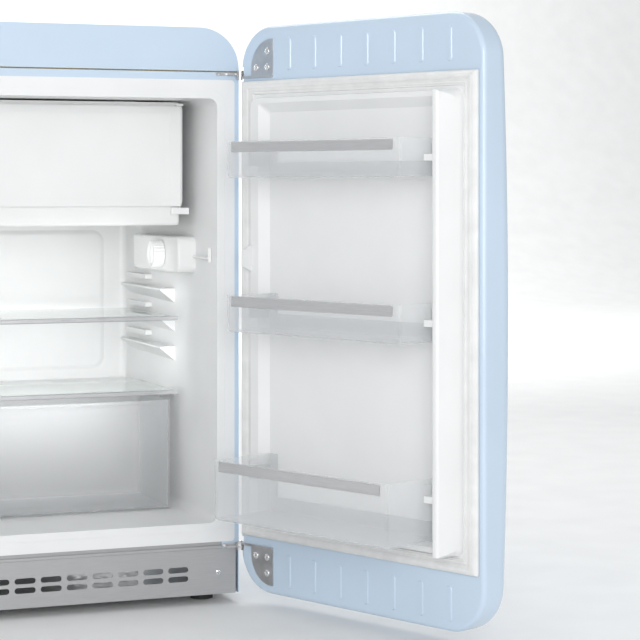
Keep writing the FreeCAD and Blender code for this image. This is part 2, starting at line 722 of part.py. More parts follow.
def build_cooling():
    compressor_y = bay_front + (rear_inside - bay_front) / 2
    base_z = 34
    can = rod("compressor_can", "Z", S["compressor_radius"], (0, compressor_y, base_z),
              S["compressor_height"])
    can = rounded("compressor_round", can, float(S["compressor_radius"]) * 0.5, lambda e: e.Closed)
    foot = box("compressor_foot", -105, 105, compressor_y - 45, compressor_y + 45, 30, base_z + 4)
    shell = cut("compressor_shell", fused("compressor_all", [can, foot]),
            *[rod(f"mount_hole{i}", "Z", 5, (x, compressor_y + y, 20), 40) for i,
              (x, y) in enumerate(mount_places())])
    node(shell, "compressor")
    mounts = []
    for i, (x, y) in enumerate(mount_places()):
        cushion = rod(f"cushion{i}", "Z", 11, (x, compressor_y + y, 2), 28)
        spigot = rod(f"spigot{i}", "Z", 4.9, (x, compressor_y + y, 2), 40)
        mounts.append(fused(f"mount{i}", [cushion, spigot]))
    node(grouped("mounts", mounts), "compressor_mounts")
    reach = S["compressor_radius"] - 4
    cover = box("relay_blank", reach, reach + 40, compressor_y - 28, compressor_y + 28, 62, 128)
    relay = rounded("relay_round", cover, 6, lambda e: e.CenterOfMass.x > float(reach) + 30)
    node(cut("relay", relay, rod("relay_seat", "Z", S["compressor_radius"], (0, compressor_y, 60), 80)),
         "relay_box")

    tray_z = base_z + S["compressor_height"] + 0.5
    tray_out = box("tray_out", -80, 80, compressor_y - 52, compressor_y + 52, tray_z, tray_z + 34)
    tray_in = box("tray_in", -78, 78, compressor_y - 50, compressor_y + 50, tray_z + 2, tray_z + 35)
    node(cut("tray", rounded("tray_round", tray_out, 12, along("Z")), tray_in), "evaporation_tray")
    drain = rod("drain", "Z", 6, (-50, bay_front + 34, tray_z + 22), bay_top - tray_z - 22)
    drain_bore = rod("drain_bore", "Z", 4.5, (-50, bay_front + 34, tray_z + 20), bay_top - tray_z - 12)
    node(cut("drain_cut", drain, drain_bore), "drain_tube")

    heights, half = condenser_lines()
    y = float(S["cabinet_depth"]) + 12
    points = [Vector(-half - 10, y, heights[0] - 60)]
    side = -1
    for z in heights:
        points.append(Vector(side * half, y, z))
        side = -side
        points.append(Vector(side * half, y, z))
    points[0] = Vector(-half, y, heights[0] - 60)
    bend = (heights[1] - heights[0]) / 2 * 0.98
    node(made("condenser", tube(points, float(S["tube_radius"]), min(bend, 18))), "condenser_tube")
    wires = []
    wire_y = y + float(S["tube_radius"] + S["wire_radius"])
    count = 25
    for i in range(count):
        x = -half + 24 + (2 * half - 48) * i / (count - 1)
        wires.append(rod(f"wire{i}", "Z", S["wire_radius"], (x, wire_y, heights[0] - 14),
                         heights[-1] - heights[0] + 28))
    node(grouped("wires", wires), "condenser_wires")
    clips = []
    for i, (x, z) in enumerate([(-half + 60, heights[1]), (half - 60, heights[1]),
                                (-half + 60, heights[-2]), (half - 60, heights[-2])]):
        base = box(f"clip_base{i}", x - 9, x + 9, S["cabinet_depth"], S["cabinet_depth"] + 3, z - 14,
                   z + 14)
        arm = box(f"clip_arm{i}", x - 4, x + 4, S["cabinet_depth"] + 2, y - float(S["tube_radius"]), z - 5,
                  z + 5)
        clips.append(fused(f"clip{i}", [base, arm]))
    node(grouped("clips", clips), "condenser_clips")
    build_pipes(float(compressor_y), y, heights[0] - 60, half)


def build_pipes(compressor_y, rear_y, low, half):
    radius = float(S["tube_radius"])
    top = 34 + float(S["compressor_height"]) * 0.62
    reach = float(S["compressor_radius"])
    drier_z = low - 96
    drier = Part.makeCylinder(9, 70, Vector(-half, rear_y, drier_z))
    drier = drier.makeFillet(5, [e for e in drier.Edges if e.Closed])
    feed = tube([Vector(-half, rear_y, low), Vector(-half, rear_y, low - 26)], radius, 5)
    discharge = tube([Vector(-reach + 2, compressor_y, top), Vector(-reach - 60, compressor_y, top),
            Vector(-reach - 60, compressor_y + 40, top + 40), Vector(-half, compressor_y + 40, top + 40),
            Vector(-half, rear_y, drier_z - 40), Vector(-half, rear_y, drier_z)], radius, 12)
    can = Part.makeCylinder(reach, 200, Vector(0, compressor_y, 20))
    back_y = float(rear_inside) - 15
    suction = tube([Vector(45, compressor_y + 45, top), Vector(45, back_y, top), Vector(150, back_y, top),
                    Vector(150, back_y, float(bay_top))], radius, 7)
    node(made("pipes", Part.makeCompound([feed.fuse([drier, discharge.cut(can)]), suction.cut(can)])),
         "refrigerant_pipes")
    gland = rod("gland_ring", "Y", 9, (half - 10, S["cabinet_depth"], bay_top + 22), 6)
    stem = rod("gland_stem", "Y", 6.5, (half - 10, S["cabinet_depth"] + 5, bay_top + 22), 15)
    bore = rod("gland_bore", "Y", 3.6, (half - 10, S["cabinet_depth"] - 1, bay_top + 22), 30)
    node(cut("gland", fused("gland_body", [gland, stem]), bore), "cable_gland")


def mount_places():
    return [(sx * 88, sy * 30) for sx in (-1, 1) for sy in (-1, 1)]


# ---------------------------------------------------------------- cabin fittings


def build_icebox():
    half = S["icebox_width"] / 2
    top = S["opening_top"] - 5
    y0, y1 = S["icebox_front"], S["icebox_front"] + S["icebox_depth"]
    wall = S["icebox_wall"]
    outer = rounded("icebox_outer", box("icebox_blank", -half, half, y0, y1, S["icebox_bottom"], top), 10,
                    along("Y"))
    inner = rounded("icebox_inner",
            box("icebox_room", -half + wall, half - wall, y0 - 1, y1 - wall, S["icebox_bottom"] + wall,
                top - wall), 8, along("Y"))
    hangers = []
    for i, (x, y) in enumerate([(side * 120, depth) for side in (-1, 1) for depth in (160, 360)]):
        hangers.append(box(f"hanger{i}", x - 20, x + 20, y, y + 30, top - 1, S["opening_top"]))
    node(fused("icebox_whole", [cut("icebox", outer, inner)] + hangers), "ice_box")

    trim_half = half + S["trim_overlap"]
    trim_front = y0 - S["trim_depth"]
    ring = plate("trim_ring", "XZ", (-trim_half, trim_half, S["icebox_bottom"] - 3, top + 2, 12),
                 [(-half + 8, half - 8, S["icebox_bottom"] + 8, top - 8, 8)], trim_front, y0)
    node(ring, "ice_box_trim")

    tray_top = S["icebox_bottom"] - 3
    tray_low = tray_top - S["tray_height"]
    tray_out = rounded("drip_outer", box("drip_blank", -half, half, trim_front, y1, tray_low, tray_top), 8,
                       along("Z"))
    tray_out = rounded("drip_soft", tray_out, S["tray_edge"],
                       lambda e: along("X")(e) and e.CenterOfMass.z < float(tray_low) + 1)
    wall = S["tray_wall"]
    tray_in = box("drip_room", -half + wall, half - wall, trim_front + wall, y1 - wall, tray_low + wall,
                  tray_top + 1)
    node(cut("drip", tray_out, tray_in), "drip_tray")

    flap_y1 = trim_front - S["sliding_clearance"]
    flap_y0 = flap_y1 - S["flap_thickness"]
    flap_z0, flap_z1 = S["icebox_bottom"] + 0.6, top - 5
    pin_r = S["flap_pin_radius"]
    pin_x, pin_y = trim_half - 6, flap_y0 + S["flap_thickness"] / 2
    flap_x1 = pin_x + S["flap_thickness"] / 2
    slab = rounded("flap_slab", box("flap_blank", -trim_half, flap_x1, flap_y0, flap_y1, flap_z0, flap_z1),
                   S["flap_thickness"] / 2 - 0.05,
                   lambda e: along("Z")(e) and e.CenterOfMass.x > float(pin_x))
    slab = rounded("flap_corners", slab, 5, lambda e: along("Y")(e) and e.CenterOfMass.x < 0)
    dish = box("flap_dish", -trim_half + 12, trim_half - 24, flap_y0 - 1, flap_y0 + 1.6, flap_z0 + 12,
               flap_z1 - 12)
    grip = rounded("flap_grip",
            box("grip_blank", -trim_half + 4, -trim_half + 14, flap_y0 - 12, flap_y0 + 2, flap_z0 + 50,
                flap_z1 - 50), 3, along("Z"))
    bore = rod("flap_bore", "Z", pin_r, (pin_x, pin_y, flap_z0 - 1), flap_z1 - flap_z0 + 2)
    node(fused("flap_whole", [cut("flap_cut", slab, dish, bore), grip]), "ice_flap")
    pin = rod("flap_axle", "Z", pin_r, (pin_x, pin_y, flap_z0 - 11), flap_z1 - flap_z0 + 16)
    node(pin, "flap_pin")

    low = box("flap_bracket_low", pin_x - 16, pin_x + 16, flap_y0 - 3, trim_front, flap_z0 - 14,
              flap_z0 - 3)
    high = box("flap_bracket_high", pin_x - 7, pin_x + 6, flap_y0 - 2, trim_front, flap_z1 + 0.8,
               flap_z1 + 4.6)
    bearings = rod("flap_bearing", "Z", pin_r + S["running_clearance"], (pin_x, pin_y, flap_z0 - 11.4),
                   flap_z1 - flap_z0 + 30)
    plates = grouped("flap_plates",
            [rounded("flap_low_round", low, 2.5, along("Z")),
             rounded("flap_high_round", high, 2.5, along("Z"))])
    node(cut("flap_bracket_cut", plates, bearings), "flap_brackets")


def build_control_unit():
    doc.recompute()
    room = cabin(0)
    face_x = wall_half(S["unit_split"]) - S["unit_depth"]
    z0, z1 = S["unit_bottom"], S["unit_top"]

    def shell(label, grow, y0, y1):
        """A block with a round front end and a soft face."""
        blank = box(f"{label}_blank", face_x + grow, half_width, y0, y1, z0 + grow, z1 - grow)
        end = rounded(f"{label}_end", blank, S["unit_end"] - grow,
                      lambda e: along("X")(e) and abs(e.CenterOfMass.y - float(y0)) < 1)
        return rounded(f"{label}_soft", end, S["unit_edge"] - grow,
                       lambda e: along("Y")(e) and e.CenterOfMass.x < float(face_x + grow) + 1)

    mid_z = z0 + (z1 - z0) / 2
    cover_wall = 1.6
    outer = shell("unit_out", 0, S["unit_front"], S["unit_back"])
    inner = shell("unit_in", cover_wall, S["unit_front"] + cover_wall, S["unit_split"] + 5)
    doc.recompute()
    seated = outer.Shape.common(room)
    front_half = Part.makeBox(400, float(S["unit_split"]) - 0.4, 2000, Vector(0, 0, 0))
    rear_half = Part.makeBox(400, 400, 2000, Vector(0, float(S["unit_split"]), 0))
    rod_x, rod_z = plunger_place()
    rod_hole = Part.makeCylinder(2.2 + float(S["running_clearance"]), 12,
            Vector(float(rod_x), float(S["unit_front"]) - 2, float(rod_z)), Vector(0, 1, 0))
    cover = seated.common(front_half).cut(inner.Shape).cut(rod_hole)
    node(made("cover", cover), "lamp_cover")

    dial_y, button_y = dial_places()
    shaft = rod("dial_hole", "X", 4 + S["running_clearance"], (face_x - 1, dial_y, mid_z), 18)
    button_hole = rod("button_hole", "X", 7 + S["sliding_clearance"], (face_x - 1, button_y, mid_z), 12)
    case = made("case", seated.common(rear_half))
    node(cut("housing", case, shaft, button_hole), "thermostat_housing")

    knob = rod("knob", "X", S["dial_radius"], (face_x - S["dial_height"] - 0.5, dial_y, mid_z),
               S["dial_height"])
    knob = rounded("knob_round", knob, 3, lambda e: e.Closed and e.CenterOfMass.x < float(face_x) - 10)
    stem = rod("knob_stem", "X", 4, (face_x - 3, dial_y, mid_z), 17)
    flutes = []
    flute_count = 24
    for i in range(flute_count):
        angle = 2 * math.pi * i / flute_count
        reach = S["dial_radius"] + 0.7
        flutes.append(rod(f"flute{i}", "X", 1.7,
                (face_x - S["dial_height"] - 2, dial_y + reach * math.cos(angle),
                 mid_z + reach * math.sin(angle)), S["dial_height"] - 4))
    node(cut("dial_cut", fused("dial_whole", [knob, stem]), *flutes), "thermostat_dial")
    button = rod("button", "X", 7, (face_x - 4, button_y, mid_z), 10)
    node(rounded("button_round", button, 1.2, lambda e: e.Closed and e.CenterOfMass.x < float(face_x)),
         "defrost_button")

    bulb = ball("bulb", 11, (face_x + 15.5, S["unit_front"] + 52, mid_z))
    neck = rod("bulb_neck", "Y", 7, (face_x + 15.5, S["unit_front"] + 55, mid_z),
               S["unit_split"] - S["unit_front"] - 55)
    node(fused("bulb_whole", [bulb, neck]), "lamp")

    pad_y = switch_pad_front()
    bar = rod("plunger_rod", "Y", 2.2, (rod_x, pad_y + 1, rod_z), S["unit_front"] + 12 - pad_y)
    pad = rounded("plunger_pad_round",
            box("plunger_pad", rod_x - 0.9, rod_x + 4.6, pad_y, pad_y + 2.5, rod_z - 7, rod_z + 17), 1,
            along("Y"))
    node(fused("plunger", [bar, pad]), "switch_plunger")


def dial_places():
    """Depths of the dial's and the defrost button's middles."""
    return S["unit_split"] + S["dial_behind"], S["unit_split"] + S["button_behind"]


def plunger_place():
    """Middle of the light switch's push rod across and up."""
    return wall_half(S["unit_front"]) - 3.2, S["unit_bottom"] + 28.5


def switch_pad_front():
    return S["unit_front"] - 80.8


def build_shelves():
    half = S["shelf_width"] / 2
    lift = 0.3
    levels = [("upper", S["ledge_lowest"] + S["ledge_pitch"] + lift, S["upper_shelf_depth"]),
              ("lower", S["hump_top"] + lift, S["shelf_depth"])]
    for name, z, deep in levels:
        front = S["shelf_front"]
        pane = plate(f"{name}_pane", "XY", (-half, half, front + 3, front + deep, 6), [], z, z + S["glass"])
        node(pane, f"{name}_shelf_glass")
        bead = box(f"{name}_bead_blank", -half, half, front, front + 9, z - 2, z + S["glass"] + 2)
        bead = rounded(f"{name}_bead_round", bead, 2, lambda e,
                       y=float(front): along("X")(e) and e.CenterOfMass.y < y + 1)
        seat = box(f"{name}_bead_seat", -half - 1, half + 1, front + 3, front + 12, z, z + S["glass"])
        node(cut(f"{name}_bead", bead, seat), f"{name}_shelf_trim")


def build_crisper():
    half = S["crisper_width"] / 2
    y0, y1 = S["shelf_front"] + 2, hump_front - 5
    z0 = S["opening_bottom"] + 0.3
    z1 = z0 + S["crisper_height"]
    wall = S["crisper_wall"]
    outer = rounded("crisper_outer", box("crisper_blank", -half, half, y0, y1, z0, z1), 14,
                    lambda e: along("Z")(e) or (along("X")(e) and e.CenterOfMass.z < float(z0) + 1))
    inner = rounded("crisper_inner",
            box("crisper_room", -half + wall, half - wall, y0 + wall, y1 - wall, z0 + wall, z1 + 20), 11.5,
                    lambda e: along("Z")(e) or (along("X")(e) and e.CenterOfMass.z < float(z0) + 5))
    hollow = cut("crisper_hollow", outer, inner)
    frame = plate("crisper_frame", "XZ", (-half + 22, half - 22, z0 + 14, z1 - 22, 12),
                  [(-half + 24, half - 24, z0 + 16, z1 - 24, 10)], y0 - 1, y0 + 1)
    grip = rounded("crisper_grip", box("grip_bar", -half + 40, half - 40, y0 - 9, y0 + 1, z1 - 5, z1), 2,
                   lambda e: along("X")(e) and e.CenterOfMass.y < float(y0) - 5)
    node(fused("crisper_whole", [hollow, frame, grip]), "crisper_drawer")


# ---------------------------------------------------------------- door


def door_block(inset):
    """The pillow-fronted block of the door, every face moved in by inset."""
    x0, x1 = float(door_x0) + inset, float(door_x1) - inset
    z0, z1 = float(S["door_bottom"]) + inset, float(S["door_top"]) - inset
    middle_x, middle_z = (x0 + x1) / 2, (z0 + z1) / 2
    back = float(door_back) - (inset if inset else 0)
    front = float(door_back) - float(S["door_thickness"]) + inset
    outline = rounded_wire((x1 - x0) / 2, z0, z1, 0, float(S["door_corner"]) - inset)
    outline.translate(Vector(middle_x, back, 0))
    prism = Part.Face(outline).extrude(Vector(0, front - back - 5, 0))
    rise, reach = float(S["door_bow"]), (float(S["door_top"]) - float(S["door_bottom"])) / 2
    radius = (reach ** 2 + rise ** 2) / (2 * rise) - inset
    pillow = Part.makeSphere(radius, Vector(middle_x, front + radius, middle_z), Vector(1, 0, 0))
    block = prism.common(pillow)
    rim = [e for e in block.Edges if e.BoundBox.YMax < back - 5 and e.BoundBox.YLength < 20]
    block = block.makeFillet(float(S["door_front_edge"]) - inset, rim)
    heel = [e for e in block.Edges if e.BoundBox.YMin > back - 1e-3]
    return block.makeFillet(float(S["door_back_edge"]) - inset, heel)


def door_window(inset, y0, y1):
    """A block through the back of the door, inside its rounded edge."""
    x0, x1 = float(door_x0) + inset, float(door_x1) - inset
    z0, z1 = float(S["door_bottom"]) + inset, float(S["door_top"]) - inset
    outline = rounded_wire((x1 - x0) / 2, z0, z1, 0, float(S["door_corner"]) - inset)
    outline.translate(Vector((x0 + x1) / 2, y0, 0))
    return Part.Face(outline).extrude(Vector(0, y1 - y0, 0))


def hinge_heights():
    """Undersides of the door leaves and of the cabinet leaves, top and bottom."""
    gap = S["leaf_gap"]
    thick = S["leaf_thickness"]
    top_door = S["gasket_top"] + 5
    low_cabinet = S["plinth_height"] + 1
    return {
        "top": (top_door, top_door + thick + gap),
        "bottom": (low_cabinet + thick + gap, low_cabinet),
    }


def knuckle_notches():
    notches = []
    for end, (door_leaf, cabinet_leaf) in hinge_heights().items():
        low = float(min(float(door_leaf), float(cabinet_leaf))) - 5
        high = float(max(float(door_leaf), float(cabinet_leaf))) + float(S["leaf_thickness"]) + 10
        notches.append(Part.makeCylinder(float(S["hinge_notch"]), high - low,
                                         Vector(float(hinge_x), float(hinge_y), low)))
    return notches


def leaning_block(edges, rise, draft, radius):
    """A block off the door back whose sides lean in.  edges are (x0, x1, z0, z1) at its foot."""
    wires = []
    for part in (0, 1):
        lean = draft * part
        x0, x1, z0, z1 = edges[0] + lean, edges[1] - lean, edges[2] + lean, edges[3] - lean
        wire = rounded_wire((x1 - x0) / 2, z0, z1, 0, radius)
        wire.translate(Vector((x0 + x1) / 2, float(door_back) + rise * part, 0))
        wires.append(wire)
    return Part.makeLoft(wires, True, True)


def panel_recess(grow):
    """The sloped dish inside the rim of the raised panel, up to the rail."""
    deep = float(S["door_liner_rise"])
    slope = float(S["rim_slope"]) / (deep - float(S["door_liner_sheet"]))
    below, above = 5, 1
    rim_x = float(rim_inner) + grow
    ends = float(S["door_liner_draft"] + S["rim_ends"]) - grow
    z0, z1 = float(panel_bottom) + ends, float(panel_top) - ends
    wires = []
    for rise in (-below, deep + above):
        back_off = slope * (deep - rise)
        x0, x1 = -float(rail_inner) - grow, rim_x - back_off
        wire = rounded_wire((x1 - x0) / 2, z0 + back_off, z1 - back_off, 0, 4)
        wire.translate(Vector((x0 + x1) / 2, float(door_back) + rise, 0))
        wires.append(wire)
    return Part.makeLoft(wires, True, True)


def side_rail(inset):
    """The tall rail along the free side of the door liner."""
    back, flat = float(door_back), float(S["door_liner_sheet"])
    crown = back + float(S["rail_rise"]) - inset
    face = back + float(S["door_liner_rise"]) - inset
    low = back if inset == 0 else back - float(S["steel"])
    root_out = float(panel_half) - inset
    face_out = root_out - float(S["door_liner_draft"])
    root_in = float(rail_inner) + inset
    z0 = float(panel_bottom + S["door_liner_draft"]) + inset
    z1 = float(panel_top - S["door_liner_draft"]) - inset
    outline = [
        (root_out, low),
        (face_out, face),
        (float(panel_half - S["rail_crown_out"]) - inset, crown),
        (float(panel_half - S["rail_crown_in"]) + inset, crown),
        (root_in, back + flat),
        (root_in, low),
    ]
    points = [Vector(-x, y, z0) for x, y in outline]
    body = Part.Face(Part.makePolygon(points + points[:1])).extrude(Vector(0, 0, z1 - z0))
    crest = [e for e in body.Edges if e.CenterOfMass.y > crown - 1e-3]
    rail = body.makeFillet(float(S["rail_edge"]) - inset, crest)
    ends = rounded_wire(face_out, z0, z1, low, float(S["opening_radius"]) - inset)
    return rail.common(Part.Face(ends).extrude(Vector(0, crown - low + 1, 0)))


def panel_block(inset):
    """The rimmed panel and the rail of the door liner, faces moved in by inset."""
    half = float(panel_half) - inset
    z0, z1 = float(panel_bottom) + inset, float(panel_top) - inset
    radius = float(S["opening_radius"]) - inset
    edges = (-half, half, z0, z1)
    raised = leaning_block(edges, float(S["door_liner_rise"]) - inset, float(S["door_liner_draft"]), radius)
    slant = math.hypot(float(S["rim_slope"]), float(S["door_liner_rise"])) / float(S["door_liner_rise"])
    raised = raised.cut(panel_recess(inset * slant)).fuse(side_rail(inset))
    if inset:
        outline = rounded_wire(half, z0, z1, float(door_back) - float(S["steel"]), radius)
        raised = raised.fuse(Part.Face(outline).extrude(Vector(0, float(S["steel"]), 0)))
    return raised.removeSplitter()


def balcony_pegs(hollow):
    """The pegs that the balconies hang on, with a post for each at the hinge side."""
    back = float(door_back)
    reach, depth, high = 15, float(S["peg_depth"]), float(S["peg_height"])
    first = back + float(S["peg_front"])
    hook_foot = float(S["hook_drop"] + S["hook_height"] + S["sliding_clearance"])
    inner = float(balcony_half) + float(S["sliding_clearance"])
    post_x = inner + float(S["sliding_clearance"]) * 6
    pieces = []
    for _, base, tall, _ in BALCONIES:
        low = float(base + tall) - hook_foot - high
        pieces.append(Part.makeBox(reach + 5, depth, high, Vector(-inner - reach - 5, first, low)))
        pieces.append(Part.makeBox(6, depth, high, Vector(inner, first, low)))
        middle = low + high / 2
        size = (float(S["post_width"]), first + depth - back, float(S["post_height"]))
        post = Part.makeBox(*size, Vector(post_x, back, middle - size[2] / 2))
        tops = [e for e in post.Edges if e.CenterOfMass.y > first + depth - 1e-3]
        pieces.append(post.makeFillet(2.5, tops))
    return [piece.cut(hollow) for piece in pieces]


def build_door():
    steel = float(S["steel"])
    back = float(door_back)
    notches = knuckle_notches()
    lip = float(S["door_back_edge"]) + 1
    outer, inner = door_block(0), door_block(steel)
    opening = door_window(lip, back - 3, back + 1)
    skin = outer.cut(inner).cut(opening).cut(Part.makeCompound(notches))
    node(made("skin", skin), "door_skin", DOOR_OPEN)

    build_door_frame(lip, notches)
    wall = 1.8
    flange_half_x = half_width - S["gasket_side"] - 2
    flange = plate("liner_flange", "XZ",
                   (-flange_half_x, flange_half_x, S["gasket_bottom"] + 2, S["gasket_top"] - 2, 10), [],
                   door_back, door_back + S["door_liner_sheet"])
    doc.recompute()
    hollow = panel_block(wall)
    fin = switch_fin().cut(hollow)
    shell = panel_block(0).fuse(flange.Shape).cut(hollow)
    liner = shell.fuse([fin] + balcony_pegs(hollow))
    node(made("liner_door", liner.removeSplitter()), "door_liner", DOOR_OPEN)

    filling = hollow.common(Part.makeBox(1000, 200, 2000, Vector(-500, back - steel, 0)))
    foam = inner.cut(door_window(0.5, back - steel, back + 1)).fuse(filling)
    foam = foam.cut(Part.makeCompound(notches)).removeSplitter()
    node(made("door_filling", foam), "door_foam", DOOR_OPEN)

    gasket_half = half_width - S["gasket_side"]
    low, high = S["gasket_bottom"], S["gasket_top"]
    across, up = S["gasket_width"], S["gasket_ends"]
    corner = S["gasket_corner"]
    low_ring = plate("seal_base", "XZ", (-gasket_half, gasket_half, low, high, corner),
                     [(-gasket_half + across, gasket_half - across, low + up, high - up, corner)],
                     door_back + S["door_liner_sheet"], -4)
    across, up = across - 8, up - 8
    high_ring = plate("seal_bulb", "XZ", (-gasket_half + 3, gasket_half - 3, low + 3, high - 3, corner),
                      [(-gasket_half + across, gasket_half - across, low + up, high - up, corner)], -4.5,
                      -0.4)
    node(fused("seal", [low_ring, high_ring]), "door_gasket", DOOR_OPEN)
    build_handle(outer)


def switch_fin():
    """The fin at the hinge side that presses the light switch when the door is shut."""
    thick = 3.6
    x = float(panel_half) - 1.4 - thick
    root = float(door_back) + float(S["door_liner_rise"]) - 3
    tip = float(switch_pad_front()) - 0.6
    middle = float(plunger_place()[1])
    sides = [(root, -20), (tip, -11), (tip, 15), (root, 25)]
    points = [Vector(x, y, middle + dz) for y, dz in sides]
    return Part.Face(Part.makePolygon(points + points[:1])).extrude(Vector(thick, 0, 0))


def build_door_frame(lip, notches):
    """The inner face panel of the door, with a row of ribs at each end."""
    x0, x1 = door_x0 + lip, door_x1 - lip
    z0, z1 = S["door_bottom"] + lip, S["door_top"] - lip
    window_half = panel_half + 6
    frame = plate("frame_plate", "XZ", (x0, x1, z0, z1, S["door_corner"] - lip),
                  [(-window_half, window_half, panel_bottom - 6, panel_top + 6, 12)],
                  door_back - S["steel"], door_back)
    count = 7
    span = S["emboss_pitch"] * (count - 1)
    first = -x0 - 25 - span / 2 - S["emboss_width"] / 2
    for i, middle in enumerate((S["door_bottom"] + 42.5, S["door_top"] - 47.5)):
        sketch = new_sketch(frame, f"rib_outline{i}", "XZ")
        draw_loop(sketch, "rib", first, first + S["emboss_width"], middle - z0 - S["emboss_length"] / 2,
                  middle - z0 + S["emboss_length"] / 2, S["emboss_width"] / 2 - 0.1)
        rib = frame.newObject("PartDesign::Pad", f"rib{i}")
        rib.Profile = sketch
        rib.Reversed = True
        rib.TaperAngle = -40
        bind(rib, "Length", S["emboss_rise"])
        row = frame.newObject("PartDesign::LinearPattern", f"rib_row{i}")
        row.Originals = [rib]
        row.Direction = (sketch, ["H_Axis"])
        bind(row, "Length", span)
        row.Occurrences = count
        frame.Tip = row
        doc.recompute()
    node(cut("frame_cut", frame, made("frame_notches", Part.makeCompound(notches))), "door_frame",
         DOOR_OPEN)


def build_handle(block):
    bar_x = door_x0 + S["handle_inset"]
    low = S["door_bottom"] + S["handle_low"]
    high = low + S["handle_length"]
    bar_y = door_back - S["door_thickness"] - S["handle_reach"]
    thick = S["handle_radius"]
    bar = rounded("bar_round", rod("bar", "Z", thick, (bar_x, bar_y, low), high - low), 6,
                  lambda e: e.Closed)
    node(bar, "handle_bar", DOOR_OPEN)
    posts = []
    for i, z in enumerate((low + 22, high - 22)):
        post = rod(f"post{i}", "Y", 6, (bar_x, bar_y, z), 40)
        rose = rod(f"rose{i}", "Y", 11, (bar_x, bar_y + 26, z), 14)
        posts.append(fused(f"post_whole{i}", [post, rose]))
    clear = grouped("post_clear",
            [made("door_block_copy", block), rod("bar_copy", "Z", thick, (bar_x, bar_y, low), high - low)])
    node(cut("posts_cut", grouped("posts", posts), clear), "handle_posts", DOOR_OPEN)


def upright_at(corner):
    """A test for the edge along Y that passes one corner, seen from the front."""

    def test(edge):
        middle = edge.CenterOfMass
        return along("Y")(edge) and abs(middle.x - corner.x) < 1 and abs(middle.z - corner.z) < 1

    return test


